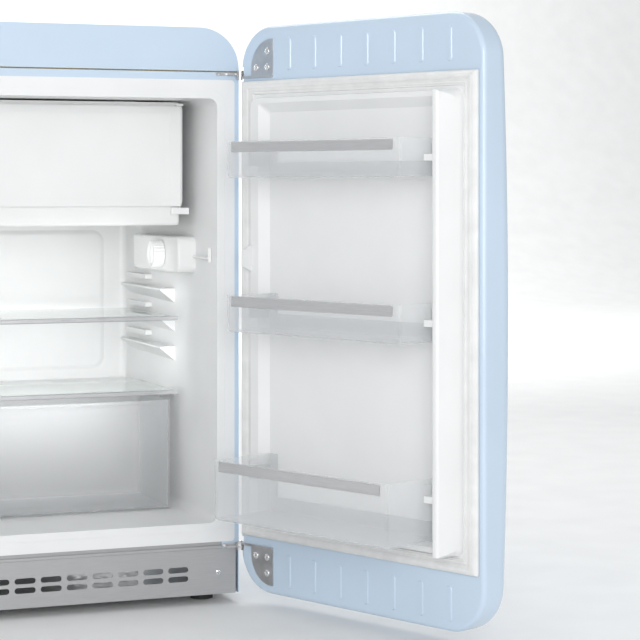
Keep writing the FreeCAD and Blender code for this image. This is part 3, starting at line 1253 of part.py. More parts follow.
def build_hinges():
    thick = S["leaf_thickness"]
    r = S["knuckle_radius"]
    pins, cabinet_screws, door_screws = [], [], []
    for end, (door_leaf, cabinet_leaf) in hinge_heights().items():
        up = 1 if end == "top" else -1
        # cabinet side: an upright foot on the front frame and a leaf out to the axis
        foot_x0 = opening_half - 2 if up > 0 else lip_end() + 1
        foot_low, foot_high = (cabinet_leaf - 1, cabinet_leaf + thick) if up > 0 else (cabinet_leaf,
            cabinet_leaf + 7)
        foot = box(f"{end}_foot", foot_x0, hinge_x - 4, -S["bracket_sheet"], 0, foot_low, foot_high)
        tongue = box(f"{end}_tongue", hinge_x - 22, hinge_x + r, hinge_y + 0.4, 0, cabinet_leaf,
                     cabinet_leaf + thick)
        knuckle = rod(f"{end}_knuckle", "Z", r, (hinge_x, hinge_y, cabinet_leaf), thick)
        hole = rod(f"{end}_pin_hole", "Z", S["pin_radius"], (hinge_x, hinge_y, cabinet_leaf - 5), 20)
        screw_z = foot_low + (foot_high - foot_low) / 2 if up > 0 else cabinet_leaf + 3.2
        screw_x = foot_x0 + (6 if up > 0 else 3.4)
        drill = rod(f"{end}_foot_hole", "Y", 1.2, (screw_x, -5, screw_z), 10)
        node(cut(f"{end}_bracket", fused(f"{end}_bracket_all", [foot, tongue, knuckle]), hole, drill),
             f"{end}_hinge_bracket")
        # door side: a quarter-round plate on the door's inner face and a leaf back to the axis
        size_x, size_z = S["plate_length"], S["plate_height"]
        plate_x1 = hinge_x - S["plate_inset"]
        z_edge = door_leaf if up > 0 else door_leaf + thick
        z0, z1 = (z_edge, z_edge + size_z) if up > 0 else (z_edge - size_z, z_edge)
        blank = box(f"{end}_plate_blank", plate_x1 - size_x, plate_x1, hinge_y, hinge_y + S["plate_sheet"],
                    z0, z1)
        far = plate_x1 - size_x
        corner = Vector(float(plate_x1), 0, float(z1 if up > 0 else z0))
        quarter = rounded(f"{end}_plate_round", blank, S["plate_round"], upright_at(corner))
        leaf = box(f"{end}_leaf", far, hinge_x, hinge_y, hinge_y + 4, door_leaf, door_leaf + thick)
        eye = rod(f"{end}_eye", "Z", r, (hinge_x, hinge_y, door_leaf), thick)
        bore = rod(f"{end}_eye_bore", "Z", S["pin_radius"] + S["running_clearance"],
                   (hinge_x, hinge_y, door_leaf - 5), 20)
        spots = [(plate_x1 - 39, up * 43), (plate_x1 - 12, up * 17), (plate_x1 - 39, up * 17)]
        drills = [rod(f"{end}_drill{i}", "Y", 2.2, (x, hinge_y - 1, z_edge + dz), 5) for i,
                  (x, dz) in enumerate(spots)]
        node(cut(f"{end}_door_plate", fused(f"{end}_plate_all", [quarter, leaf, eye]), bore, *drills),
             f"{end}_hinge_plate", DOOR_OPEN)
        for i, (x, dz) in enumerate(spots):
            head = common(f"{end}_head{i}",
                    ball(f"{end}_head_ball{i}", 7.5, (x, hinge_y - 2.6, z_edge + dz)),
                    box(f"{end}_head_box{i}", x - 9, x + 9, hinge_y + 2, hinge_y + 9, z_edge + dz - 9,
                        z_edge + dz + 9))
            shank = rod(f"{end}_shank{i}", "Y", 2.2, (x, hinge_y, z_edge + dz), 2.5)
            door_screws.append(fused(f"{end}_screw{i}", [head, shank]))
        screw = rod(f"{end}_foot_screw", "Y", 2, (screw_x, -3, screw_z), 1.2)
        shaft = rod(f"{end}_foot_shank", "Y", 1.2, (screw_x, -2.5, screw_z), 2.5)
        cabinet_screws.append(fused(f"{end}_foot_fixing", [screw, shaft]))
        pin_low = (door_leaf if up > 0 else cabinet_leaf) - 2
        shank = rod(f"{end}_pin", "Z", S["pin_radius"], (hinge_x, hinge_y, pin_low), thick * 2 + 2.5 + 4)
        cap_z = cabinet_leaf + thick if up > 0 else cabinet_leaf - 4
        cap = rod(f"{end}_pin_cap", "Z", 6, (hinge_x, hinge_y, cap_z), 4)
        collar_z = door_leaf + thick + 0.2 if up > 0 else cabinet_leaf + thick
        collar = rod(f"{end}_collar", "Z", 6, (hinge_x, hinge_y, collar_z), 2.3)
        pins.append(fused(f"{end}_pin_whole", [shank, cap, collar]))
    node(grouped("pin_pair", pins), "hinge_pins")
    node(grouped("bracket_fixings", cabinet_screws), "bracket_screws")
    node(grouped("plate_fixings", door_screws), "hinge_plate_screws", DOOR_OPEN)


def build_balconies():
    half = balcony_half
    wall = S["balcony_wall"]
    for name, z0, high, reach in BALCONIES:
        y0, y1 = door_back + S["balcony_back"], door_back + reach
        z1 = z0 + high
        outer = rounded(f"{name}_tub", box(f"{name}_tub_blank", -half, half, y0, y1, z0, z1),
                        S["balcony_corner"],
                        lambda e, y=float(y1): along("Z")(e) and abs(e.CenterOfMass.y - y) < 1)
        outer = rounded(f"{name}_tub_foot", outer, 6, lambda e,
                        z=float(z0): abs(e.CenterOfMass.z - z) < 0.1)
        room = rounded(f"{name}_room",
                box(f"{name}_room_blank", -half + wall, half - wall, y0 + wall, y1 - wall, z0 + wall,
                    z1 + 5), S["balcony_corner"] - wall,
                       lambda e, y=float(y1): along("Z")(e) and e.CenterOfMass.y > y - 5)
        low_back = box(f"{name}_low_back", -half + 20, half - 20, y0 - 1, y0 + wall + 1, z0 + 26, z1 + 1)
        hook_y = door_back + S["peg_front"] + 1
        hooks = [box(f"{name}_hook{i}", x, x + 2.4, hook_y, hook_y + 15,
                     z1 - S["hook_drop"] - S["hook_height"], z1 - S["hook_drop"])
                 for i, x in enumerate((-half - 2, half - 0.4))]
        tub = fused(f"{name}_balcony_whole", [cut(f"{name}_hollow", outer, room, low_back)] + hooks)
        node(tub, f"{name}_balcony", DOOR_OPEN)
        strip_half = half - S["strip_inset"]
        strip = plate(f"{name}_strip", "XZ",
                      (-strip_half, strip_half, z1 - 1 - S["strip_height"], z1 - 1, 1.5), [], y1,
                      y1 + S["strip_sheet"])
        node(strip, f"{name}_balcony_strip", DOOR_OPEN)


# ---------------------------------------------------------------- assembly

build_cabinet()
build_base()
build_cooling()
build_icebox()
build_control_unit()
build_shelves()
build_crisper()
build_door()
build_hinges()
build_balconies()
doc.recompute()

for thing in doc.Objects:
    for word in ("Invalid", "Error"):
        if word in thing.State:
            raise RuntimeError(f"{thing.Name} ({thing.Label}) did not recompute: {thing.State}")

os.makedirs("parts", exist_ok=True)
labels = [thing.Label for thing, _ in NODES]
if len(set(labels)) != len(labels):
    raise RuntimeError("two sub-parts share a name")
for thing, pose in NODES:
    swung = thing.Placement if pose is None else pose.multiply(thing.Placement)
    thing.Placement = STORED_SHIFT.multiply(swung)
doc.recompute()
for thing, _ in NODES:
    shape = thing.Shape
    if shape.isNull() or not shape.isValid() or not shape.Solids:
        raise RuntimeError(f"{thing.Label} has no sound solid")
    shape.exportStep(f"parts/{thing.Label}.step")
    print(f"{thing.Label:26s} solids {len(shape.Solids):3d} volume {shape.Volume / 1000:10.1f} cm3")
print(len(NODES), "sub-parts")
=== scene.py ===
"""Looks of a retro one-door refrigerator with an ice box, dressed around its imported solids.

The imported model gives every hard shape.  This script gives each of its nodes a finish and adds the pieces whose
look needs more than a plain solid: the bellows of the door seal, the control dial, recessed screw heads, the folded
metal strips of the balconies, the pressed panel of the cabin's rear wall and the welded seam of the compressor.
"""

from __future__ import annotations

import json
import logging
import math
from dataclasses import dataclass
from enum import Enum

import bmesh
import bpy
import numpy as np
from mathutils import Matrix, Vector

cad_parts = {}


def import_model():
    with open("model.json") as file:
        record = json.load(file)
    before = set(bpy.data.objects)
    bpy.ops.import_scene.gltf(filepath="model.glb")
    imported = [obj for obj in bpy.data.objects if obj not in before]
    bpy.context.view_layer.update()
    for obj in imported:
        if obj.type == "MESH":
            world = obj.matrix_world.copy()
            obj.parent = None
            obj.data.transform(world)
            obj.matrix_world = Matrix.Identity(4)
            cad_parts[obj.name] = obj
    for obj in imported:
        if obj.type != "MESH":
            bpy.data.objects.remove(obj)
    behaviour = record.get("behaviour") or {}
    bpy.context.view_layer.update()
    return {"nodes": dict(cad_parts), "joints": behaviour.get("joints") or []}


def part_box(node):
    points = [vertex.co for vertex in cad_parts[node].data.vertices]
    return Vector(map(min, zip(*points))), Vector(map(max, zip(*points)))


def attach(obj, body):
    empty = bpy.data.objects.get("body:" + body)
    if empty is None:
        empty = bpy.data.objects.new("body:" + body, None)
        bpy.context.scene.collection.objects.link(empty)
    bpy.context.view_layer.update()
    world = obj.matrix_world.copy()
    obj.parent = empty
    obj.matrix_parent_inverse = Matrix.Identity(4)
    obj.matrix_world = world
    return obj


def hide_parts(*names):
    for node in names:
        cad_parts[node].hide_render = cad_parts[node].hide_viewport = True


LOG = logging.getLogger("refrigerator")
MM = 0.001
FULL_TURN = 2 * math.pi


# --------------------------------------------------------------------------- surfaces


def grid_faces(rows: int, columns: int, wrap_rows: bool, wrap_columns: bool) -> np.ndarray:
    """Numbers the four-sided faces of a grid of points.

    Args:
        rows: Points along the first parameter.
        columns: Points along the second parameter.
        wrap_rows: Joins the last row to the first.
        wrap_columns: Joins the last column to the first.

    Returns:
        An array of faces, four point numbers each.
    """
    row = np.arange(rows if wrap_rows else rows - 1)
    column = np.arange(columns if wrap_columns else columns - 1)
    i, j = np.meshgrid(row, column, indexing="ij")
    i_next, j_next = (i + 1) % rows, (j + 1) % columns
    corners = [i * columns + j, i_next * columns + j, i_next * columns + j_next, i * columns + j_next]
    return np.stack(corners, axis=-1).reshape(-1, 4)


@dataclass
class Surface:
    """A grid of points, with the way its edges join.

    Attributes:
        points: Array of shape (rows, columns, 3), in metres.
        wrap_rows: Whether the last row meets the first.
        wrap_columns: Whether the last column meets the first.
    """

    points: np.ndarray
    wrap_rows: bool = False
    wrap_columns: bool = False

    def faces(self, start: int) -> np.ndarray:
        """The surface's faces, numbered from start."""
        rows, columns = self.points.shape[:2]
        return grid_faces(rows, columns, self.wrap_rows, self.wrap_columns) + start


def build_piece(name: str, surfaces: list[Surface], smooth_angle: float = 40.0) -> bpy.types.Object:
    """Joins surfaces into one mesh with outward faces and closed seams.

    Args:
        name: Name of the new piece.
        surfaces: The grids that make it.
        smooth_angle: Edges sharper than this many degrees stay crisp.

    Returns:
        The piece, at the origin, with its place in its mesh.
    """
    points = np.concatenate([s.points.reshape(-1, 3) for s in surfaces])
    starts = np.cumsum([0] + [s.points.shape[0] * s.points.shape[1] for s in surfaces[:-1]])
    faces = np.concatenate([s.faces(start) for s, start in zip(surfaces, starts)])
    mesh = bpy.data.meshes.new(name)
    mesh.from_pydata(points.tolist(), [], faces.tolist())
    shaped = bmesh.new()
    shaped.from_mesh(mesh)
    bmesh.ops.remove_doubles(shaped, verts=shaped.verts, dist=1e-6)
    bmesh.ops.dissolve_degenerate(shaped, edges=shaped.edges, dist=1e-7)
    bmesh.ops.recalc_face_normals(shaped, faces=shaped.faces)
    shaped.to_mesh(mesh)
    shaped.free()
    mesh.shade_smooth()
    mesh.set_sharp_from_angle(angle=math.radians(smooth_angle))
    piece = bpy.data.objects.new(name, mesh)
    bpy.context.scene.collection.objects.link(piece)
    return piece


def rounded_loop(half_u: float, half_v: float, radius: float, steps: int) -> tuple[np.ndarray, np.ndarray]:
    """A rectangle with round corners, as points and outward normals.

    The corner arcs are centre plus radius times the direction; the straight sides are left to the joining faces.

    Args:
        half_u: Half the size along the first direction.
        half_v: Half the size along the second direction.
        radius: Corner radius.
        steps: Points on each corner.

    Returns:
        Points (n, 2) and unit outward normals (n, 2), anticlockwise.
    """
    angle = (np.arange(4)[:, None] * 90 + np.linspace(0, 90, steps)[None, :]).ravel() * math.pi / 180
    normal = np.stack([np.cos(angle), np.sin(angle)], axis=1)
    sign = np.repeat(np.array([[1, 1], [-1, 1], [-1, -1], [1, -1]]), steps, axis=0)
    centre = sign * np.array([half_u - radius, half_v - radius])
    return centre + radius * normal, normal


def turned_surface(
    radius: np.ndarray, height: np.ndarray, lobes: np.ndarray, steps: int, flutes: int
) -> np.ndarray:
    """Points of a shape turned about an axis, with a wavy rim.

    Each point is (height, r cos a, r sin a), where r is the profile's radius less its lobe depth between the crests
    of a wave of a.

    Args:
        radius: Profile radii.
        height: Profile heights, one for each radius.
        lobes: Wave depth at each profile point.
        steps: Points round the axis.
        flutes: Half of the number of crests round the rim.

    Returns:
        Array (profile, steps, 3): along the axis, then the two directions across it.
    """
    angle = np.linspace(0, FULL_TURN, steps, endpoint=False)
    wave = np.abs(np.sin(angle * flutes))
    reach = radius[:, None] - lobes[:, None] * (1 - wave[None, :])
    along = np.repeat(height[:, None], steps, axis=1)
    return np.stack([along, reach * np.cos(angle), reach * np.sin(angle)], axis=-1)


def border(sheet: np.ndarray) -> np.ndarray:
    """The points along the four edges of a grid, once round."""
    return np.concatenate([sheet[0], sheet[1:, -1], sheet[-1, -2::-1], sheet[-2:0:-1, 0]])


def eased(share: np.ndarray) -> np.ndarray:
    """A cosine step: from 0 up to 1 as the share goes to 1, and down again as it goes to 2."""
    return 0.5 - 0.5 * np.cos(share * math.pi)


@dataclass(frozen=True)
class DoorPlace:
    """Where the stored door stands.

    Attributes:
        axis_x: Hinge axis across.
        axis_y: Hinge axis in depth.
        angle: How far the door stands open, in radians.
    """

    axis_x: float
    axis_y: float
    angle: float

    @classmethod
    def from_joints(cls, joints: list[dict]) -> "DoorPlace":
        """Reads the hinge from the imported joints; its lower limit is the closed door."""
        hinge = next(j for j in joints if j["name"] == "door_hinge")
        return cls(hinge["pos_m"][0], hinge["pos_m"][1], math.radians(-hinge["range_deg"][0]))

    def stored(self, points: np.ndarray) -> np.ndarray:
        """Turns points of the closed door to its stored pose.

        Args:
            points: Array (..., 3): distance from the hinge axis, depth behind the door's back face, height.

        Returns:
            The same points in the row frame.
        """
        x, y = -points[..., 0], points[..., 1]
        cosine, sine = math.cos(self.angle), math.sin(self.angle)
        turned_x = self.axis_x + x * cosine - y * sine
        turned_y = self.axis_y + x * sine + y * cosine
        return np.stack([turned_x, turned_y, points[..., 2]], axis=-1)

    def closed(self, points: np.ndarray) -> np.ndarray:
        """Turns stored points back to the closed door's directions, the reverse of stored."""
        x, y = points[..., 0] - self.axis_x, points[..., 1] - self.axis_y
        cosine, sine = math.cos(self.angle), math.sin(self.angle)
        return np.stack([-(x * cosine + y * sine), -x * sine + y * cosine, points[..., 2]], axis=-1)


# --------------------------------------------------------------------------- finishes


PATTERN_LOW, PATTERN_HIGH = 0.3, 0.7


class Grain(Enum):
    """Which way a brushed finish runs: how much its noise is squeezed along each axis."""

    ACROSS = (1.0, 60.0, 60.0)
    UPRIGHT = (60.0, 60.0, 1.0)
    DEPTH = (60.0, 1.0, 60.0)


class Weaver:
    """A short way to wire one material's nodes."""

    def __init__(self, name: str) -> None:
        """Starts an empty material with one surface shader."""
        self.material = bpy.data.materials.new(name)
        self.material.use_nodes = True
        self.tree = self.material.node_tree
        self.tree.nodes.clear()
        self.shader = self.tree.nodes.new("ShaderNodeBsdfPrincipled")
        output = self.tree.nodes.new("ShaderNodeOutputMaterial")
        self.join(self.shader.outputs["BSDF"], output.inputs["Surface"])
        self.place = self.tree.nodes.new("ShaderNodeTexCoord").outputs["Object"]

    def join(self, source: bpy.types.NodeSocket, target: bpy.types.NodeSocket) -> None:
        """Links two sockets."""
        self.tree.links.new(source, target)

    def fix(self, **values: float | tuple) -> None:
        """Sets the shader's own sockets; underscores stand for spaces."""
        for name, value in values.items():
            self.shader.inputs[name.replace("_", " ")].default_value = value

    def stretched(self, scale: tuple[float, float, float], turn: float = 0.0) -> bpy.types.NodeSocket:
        """Object coordinates turned about the upright and then scaled along each axis."""
        turned = self.tree.nodes.new("ShaderNodeMapping")
        turned.inputs["Rotation"].default_value = (0.0, 0.0, -turn)
        self.join(self.place, turned.inputs["Vector"])
        scaled = self.tree.nodes.new("ShaderNodeMapping")
        scaled.inputs["Scale"].default_value = scale
        self.join(turned.outputs["Vector"], scaled.inputs["Vector"])
        return scaled.outputs["Vector"]

    def noise(
        self, scale: float, detail: float = 3.0, where: bpy.types.NodeSocket | None = None
    ) -> bpy.types.NodeSocket:
        """Fractal noise, from 0 to 1.

        Args:
            scale: About how many features a metre holds.
            detail: How many finer octaves are laid over it.
            where: Coordinates to use in place of the object's own.

        Returns:
            The socket with the noise.
        """
        node = self.tree.nodes.new("ShaderNodeTexNoise")
        node.inputs["Scale"].default_value = scale
        node.inputs["Detail"].default_value = detail
        self.join(where or self.place, node.inputs["Vector"])
        return node.outputs["Fac"]

    def cells(self, scale: float) -> bpy.types.NodeSocket:
        """Distance to the nearest point of a scattered cell pattern."""
        node = self.tree.nodes.new("ShaderNodeTexVoronoi")
        node.inputs["Scale"].default_value = scale
        self.join(self.place, node.inputs["Vector"])
        return node.outputs["Distance"]

    def spread(self, source: bpy.types.NodeSocket, low: float, high: float) -> bpy.types.NodeSocket:
        """Maps a pattern's middle range to a span of values."""
        node = self.tree.nodes.new("ShaderNodeMapRange")
        node.inputs["From Min"].default_value = PATTERN_LOW
        node.inputs["From Max"].default_value = PATTERN_HIGH
        node.inputs["To Min"].default_value = low
        node.inputs["To Max"].default_value = high
        self.join(source, node.inputs["Value"])
        return node.outputs["Result"]

    def tinted(self, pattern: bpy.types.NodeSocket, dark: tuple, light: tuple) -> None:
        """Colours the shader between two tones by a pattern."""
        ramp = self.tree.nodes.new("ShaderNodeValToRGB")
        ramp.color_ramp.elements[0].position = PATTERN_LOW
        ramp.color_ramp.elements[1].position = PATTERN_HIGH
        ramp.color_ramp.elements[0].color = (*dark, 1.0)
        ramp.color_ramp.elements[1].color = (*light, 1.0)
        self.join(pattern, ramp.inputs["Fac"])
        self.join(ramp.outputs["Color"], self.shader.inputs["Base Color"])

    def rough(self, pattern: bpy.types.NodeSocket, low: float, high: float) -> None:
        """Varies the roughness between two values by a pattern."""
        self.join(self.spread(pattern, low, high), self.shader.inputs["Roughness"])

    def relief(self, patterns: list[tuple[bpy.types.NodeSocket, float, float]]) -> None:
        """Stacks bumps: each is a pattern, its strength and its depth in metres."""
        below = None
        for pattern, strength, depth in patterns:
            node = self.tree.nodes.new("ShaderNodeBump")
            node.inputs["Strength"].default_value = strength
            node.inputs["Distance"].default_value = depth
            self.join(pattern, node.inputs["Height"])
            if below is not None:
                self.join(below, node.inputs["Normal"])
            below = node.outputs["Normal"]
        self.join(below, self.shader.inputs["Normal"])


def toned(colour: tuple, share: float) -> tuple:
    """A colour made lighter or darker by a share."""
    return tuple(min(1.0, c * (1 + share)) for c in colour)


@dataclass(frozen=True)
class Finish:
    """What every finish has.

    Attributes:
        name: Name of the material.
        colour: Main colour, linear.
        roughness: Middle of its roughness.
    """

    name: str
    colour: tuple[float, float, float]
    roughness: float

    def weave(self, w: Weaver) -> None:
        """Wires the finish; each kind of finish has its own."""
        raise NotImplementedError

    def material(self) -> bpy.types.Material:
        """The Blender material, made once."""
        if self.name not in bpy.data.materials:
            self.weave(Weaver(self.name))
        return bpy.data.materials[self.name]


@dataclass(frozen=True)
class Enamel(Finish):
    """Sprayed gloss enamel: faint tone drift, fine orange peel and a clear top coat.

    Attributes:
        coat: Weight of the top coat.
        coat_roughness: Roughness of the top coat.
        tone_drift: Share by which the tone falls; it rises a little less.
        unevenness: How far the roughness strays either way.
    """

    coat: float = 0.6
    coat_roughness: float = 0.07
    tone_drift: float = 0.025
    unevenness: float = 0.02

    def weave(self, w: Weaver) -> None:
        """Tone drifts over a hand's breadth; the peel is under 2 mm."""
        drift = w.noise(5.0, 2.0)
        peel = w.noise(420.0, 1.0)
        w.tinted(drift, toned(self.colour, -self.tone_drift), toned(self.colour, self.tone_drift * 0.8))
        w.rough(w.noise(12.0, 2.0), self.roughness - self.unevenness, self.roughness + self.unevenness)
        w.relief([(drift, 0.04, 2.0 * MM), (peel, 0.03, 0.2 * MM)])
        w.fix(Coat_Weight=self.coat, Coat_Roughness=self.coat_roughness)


@dataclass(frozen=True)
class Moulding(Finish):
    """Opaque moulded or vacuum-formed plastic: soft waviness and a very fine grain.

    Attributes:
        grain: Strength of the mould's grain.
        unevenness: How far the roughness strays either way.
    """

    grain: float = 0.03
    unevenness: float = 0.02

    def weave(self, w: Weaver) -> None:
        """Waves are the sheet's; the grain is the mould's."""
        wave = w.noise(9.0, 2.0)
        grain = w.noise(700.0, 1.0)
        w.tinted(wave, toned(self.colour, -0.02), toned(self.colour, 0.015))
        w.rough(w.noise(16.0, 2.0), self.roughness - self.unevenness, self.roughness + self.unevenness)
        w.relief([(wave, 0.03, 3.0 * MM), (grain, self.grain, 0.15 * MM)])
        w.fix(Specular_IOR_Level=0.45)


@dataclass(frozen=True)
class Clear(Finish):
    """See-through moulding or glass: faint seen flat on, and solid at its edges.

    Attributes:
        flat_alpha: Opacity seen flat on.
        edge_alpha: Opacity seen at a glancing angle.
        edge_blend: How far the opaque part reaches in from the edges.
    """

    flat_alpha: float = 0.08
    edge_alpha: float = 0.62
    edge_blend: float = 0.35

    def weave(self, w: Weaver) -> None:
        """Opacity follows the facing angle, so that edges and corners catch the light."""
        facing = w.tree.nodes.new("ShaderNodeLayerWeight")
        facing.inputs["Blend"].default_value = self.edge_blend
        opacity = w.tree.nodes.new("ShaderNodeMapRange")
        opacity.inputs["To Min"].default_value = self.flat_alpha
        opacity.inputs["To Max"].default_value = self.edge_alpha
        w.join(facing.outputs["Facing"], opacity.inputs["Value"])
        w.join(opacity.outputs["Result"], w.shader.inputs["Alpha"])
        flow = w.noise(14.0, 2.0)
        w.tinted(flow, toned(self.colour, -0.03), self.colour)
        w.rough(w.noise(90.0, 3.0), self.roughness, self.roughness + 0.05)
        w.relief([(flow, 0.1, 2.0 * MM), (w.noise(300.0, 1.0), 0.02, 0.1 * MM)])
        w.fix(Specular_IOR_Level=0.7)


@dataclass(frozen=True)
class Brushed(Finish):
    """Metal with fine parallel scratches along one direction.

    Attributes:
        grain: Direction of the scratches.
        turn: Turn of that direction about the upright, in radians.
        metal: How metallic the surface is.
        contrast: Share by which the scratches are darker and lighter than the colour.
    """

    grain: Grain = Grain.ACROSS
    turn: float = 0.0
    metal: float = 1.0
    contrast: float = 0.07

    def weave(self, w: Weaver) -> None:
        """The scratches are noise drawn out sixty times along the grain."""
        where = w.stretched(self.grain.value, self.turn)
        lines = w.noise(34.0, 6.0, where)
        w.tinted(lines, toned(self.colour, -self.contrast), toned(self.colour, self.contrast))
        w.rough(lines, self.roughness - 0.05, self.roughness + 0.07)
        w.relief([(lines, 0.06, 0.2 * MM), (w.noise(4.0, 2.0), 0.05, 1.0 * MM)])
        w.fix(Metallic=self.metal)


@dataclass(frozen=True)
class Plated(Finish):
    """Plated or polished metal: bright, with a faint cloud of handling.

    Attributes:
        cloud: Share by which the clouds change the tone.
    """

    cloud: float = 0.05

    def weave(self, w: Weaver) -> None:
        """Clouds change the roughness and, a little, the tone."""
        clouds = w.noise(55.0, 5.0)
        w.tinted(clouds, toned(self.colour, -self.cloud), toned(self.colour, self.cloud))
        w.rough(clouds, max(0.03, self.roughness - 0.04), self.roughness + 0.06)
        w.relief([(w.noise(400.0, 2.0), 0.05, 0.1 * MM)])
        w.fix(Metallic=1.0)


@dataclass(frozen=True)
class Spangled(Finish):
    """Galvanised sheet with its crystal pattern."""

    def weave(self, w: Weaver) -> None:
        """Each crystal is a cell with its own tone and shine."""
        crystals = w.cells(95.0)
        w.tinted(crystals, toned(self.colour, -0.1), toned(self.colour, 0.1))
        w.rough(crystals, self.roughness - 0.08, self.roughness + 0.1)
        w.relief([(w.noise(30.0, 4.0), 0.12, 0.6 * MM)])
        w.fix(Metallic=0.9)


@dataclass(frozen=True)
class Satin(Finish):
    """Baked satin paint over a cast or drawn part, a little dusty."""

    def weave(self, w: Weaver) -> None:
        """Dust lightens the tone in drifts and dulls the shine."""
        dust = w.noise(24.0, 5.0)
        w.tinted(dust, self.colour, tuple(c + 0.025 for c in self.colour))
        w.rough(dust, self.roughness - 0.06, self.roughness + 0.14)
        w.relief([(w.noise(500.0, 3.0), 0.2, 0.2 * MM)])


@dataclass(frozen=True)
class Rubber(Finish):
    """Moulded rubber or soft vinyl, matte with a velvet edge."""

    def weave(self, w: Weaver) -> None:
        """A fine mould texture under uneven bloom."""
        bloom = w.noise(35.0, 4.0)
        w.tinted(bloom, toned(self.colour, -0.06), toned(self.colour, 0.04))
        w.rough(bloom, self.roughness - 0.06, self.roughness + 0.08)
        w.relief([(w.noise(500.0, 1.0), 0.05, 0.2 * MM)])
        w.fix(Sheen_Weight=0.08)


@dataclass(frozen=True)
class Foam(Finish):
    """Rigid foamed insulation with open cells on its skin."""

    def weave(self, w: Weaver) -> None:
        """Cells give both the pits and a painted shade in them: the tone is darkest at the bottom of each pit."""
        pits = w.cells(420.0)
        # painted shade: the colour falls by a fifth towards the bottom of each pit, where shade would fall
        w.tinted(pits, toned(self.colour, -0.2), self.colour)
        w.rough(pits, 0.8, 0.95)
        w.relief([(pits, 0.5, 0.8 * MM)])


BLUE_COLOUR = (0.575, 0.695, 0.825)
BLUE = Enamel("blue_enamel", BLUE_COLOUR, 0.3)
WHITE_LINER = Moulding("white_liner", (0.84, 0.845, 0.845), 0.34)
WHITE_SATIN = Moulding("white_satin", (0.84, 0.84, 0.835), 0.4)
BRIGHT_WHITE = Moulding("bright_white_moulding", (0.86, 0.865, 0.86), 0.3)
GREY_MOULDING = Moulding("grey_moulding", (0.30, 0.31, 0.32), 0.5)
CLEAR = Clear("clear_moulding", (0.80, 0.815, 0.83), 0.08, flat_alpha=0.13, edge_alpha=0.72)
GLASS = Clear("shelf_glass", (0.86, 0.93, 0.91), 0.02, flat_alpha=0.12, edge_alpha=0.75)
BULB = Clear("frosted_bulb", (0.95, 0.94, 0.9), 0.25, flat_alpha=0.75, edge_alpha=0.95)
PLINTH_STEEL = Brushed("plinth_steel", (0.44, 0.44, 0.445), 0.45, grain=Grain.ACROSS, metal=0.35)
SHELF_TRIM = Brushed("shelf_trim_steel", (0.68, 0.68, 0.69), 0.3, grain=Grain.ACROSS)
CHROME = Plated("polished_chrome", (0.80, 0.80, 0.81), 0.08)
ZINC = Plated("zinc_plate", (0.58, 0.58, 0.59), 0.34, cloud=0.1)
COPPER = Plated("drawn_copper", (0.72, 0.42, 0.28), 0.32, cloud=0.15)
ALUMINIUM = Plated("anodised_aluminium", (0.76, 0.77, 0.78), 0.4, cloud=0.06)
GALVANISED = Spangled("galvanised_sheet", (0.56, 0.57, 0.58), 0.42)
BLACK_SATIN = Satin("black_satin", (0.018, 0.018, 0.019), 0.45)
BLACK_RUBBER = Rubber("black_rubber", (0.02, 0.02, 0.02), 0.7)
SEAL_VINYL = Rubber("seal_vinyl", (0.80, 0.80, 0.795), 0.5)
INSULATION = Foam("foamed_insulation", (0.78, 0.70, 0.48), 0.9)
STUDIO_PAPER = Moulding("studio_paper", (0.90, 0.90, 0.895), 0.8, grain=0.1)

NODE_FINISHES: dict[Finish, list[str]] = {
    BLUE: ["cabinet_wrap", "crown_fascia", "front_frame", "door_skin", "door_frame"],
    WHITE_LINER: ["cabin_liner", "door_liner"],
    WHITE_SATIN: ["evaporation_tray", "drain_tube", "condenser_clips", "drip_tray", "defrost_button"],
    BRIGHT_WHITE: ["ice_flap", "ice_box_trim", "flap_brackets", "lamp_cover", "thermostat_housing", "thermostat_dial",
                   "switch_plunger"],
    GREY_MOULDING: ["relay_box", "cable_gland"],
    CLEAR: ["crisper_drawer", "top_balcony", "middle_balcony", "bottom_balcony"],
    GLASS: ["upper_shelf_glass", "lower_shelf_glass"],
    BULB: ["lamp"],
    PLINTH_STEEL: ["plinth"],
    SHELF_TRIM: ["upper_shelf_trim", "lower_shelf_trim", "top_balcony_strip", "middle_balcony_strip",
                 "bottom_balcony_strip"],
    CHROME: ["handle_bar", "handle_posts", "hinge_pins", "bracket_screws", "hinge_plate_screws", "plinth_screws"],
    ZINC: ["top_hinge_bracket", "bottom_hinge_bracket", "top_hinge_plate", "bottom_hinge_plate", "flap_pin"],
    COPPER: ["refrigerant_pipes"],
    ALUMINIUM: ["ice_box"],
    GALVANISED: ["back_panel", "base_pan", "bottom_panel"],
    BLACK_SATIN: ["compressor", "condenser_tube", "condenser_wires"],
    BLACK_RUBBER: ["compressor_mounts", "front_foot_left", "front_foot_right", "rear_feet"],
    SEAL_VINYL: ["door_gasket"],
    INSULATION: ["cabinet_foam", "door_foam"],
}


def dress(piece: bpy.types.Object, finish: Finish) -> None:
    """Gives a piece one finish in its only material slot."""
    piece.data.materials.clear()
    piece.data.materials.append(finish.material())


def settle(piece: bpy.types.Object, body: str, slot: str, finish: Finish, *nodes: str) -> None:
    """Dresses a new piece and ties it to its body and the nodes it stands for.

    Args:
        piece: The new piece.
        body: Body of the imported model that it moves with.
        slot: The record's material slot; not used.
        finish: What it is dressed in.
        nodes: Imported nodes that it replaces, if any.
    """
    dress(piece, finish)
    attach(piece, body)
    if nodes:
        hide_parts(*nodes)
    LOG.info("made %s on %s", piece.name, body)


# --------------------------------------------------------------------------- sub-assemblies


@dataclass
class PackedShell:
    """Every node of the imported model, each with its finish.

    Attributes:
        nodes: Packed objects by name.
    """

    nodes: dict[str, bpy.types.Object]

    def build(self) -> None:
        """Dresses each node; a node without a finish is an error."""
        finishes = {node: finish for finish, nodes in NODE_FINISHES.items() for node in nodes}
        for name, piece in self.nodes.items():
            dress(piece, finishes[name])
            LOG.info("dressed %s in %s", name, finishes[name].name)


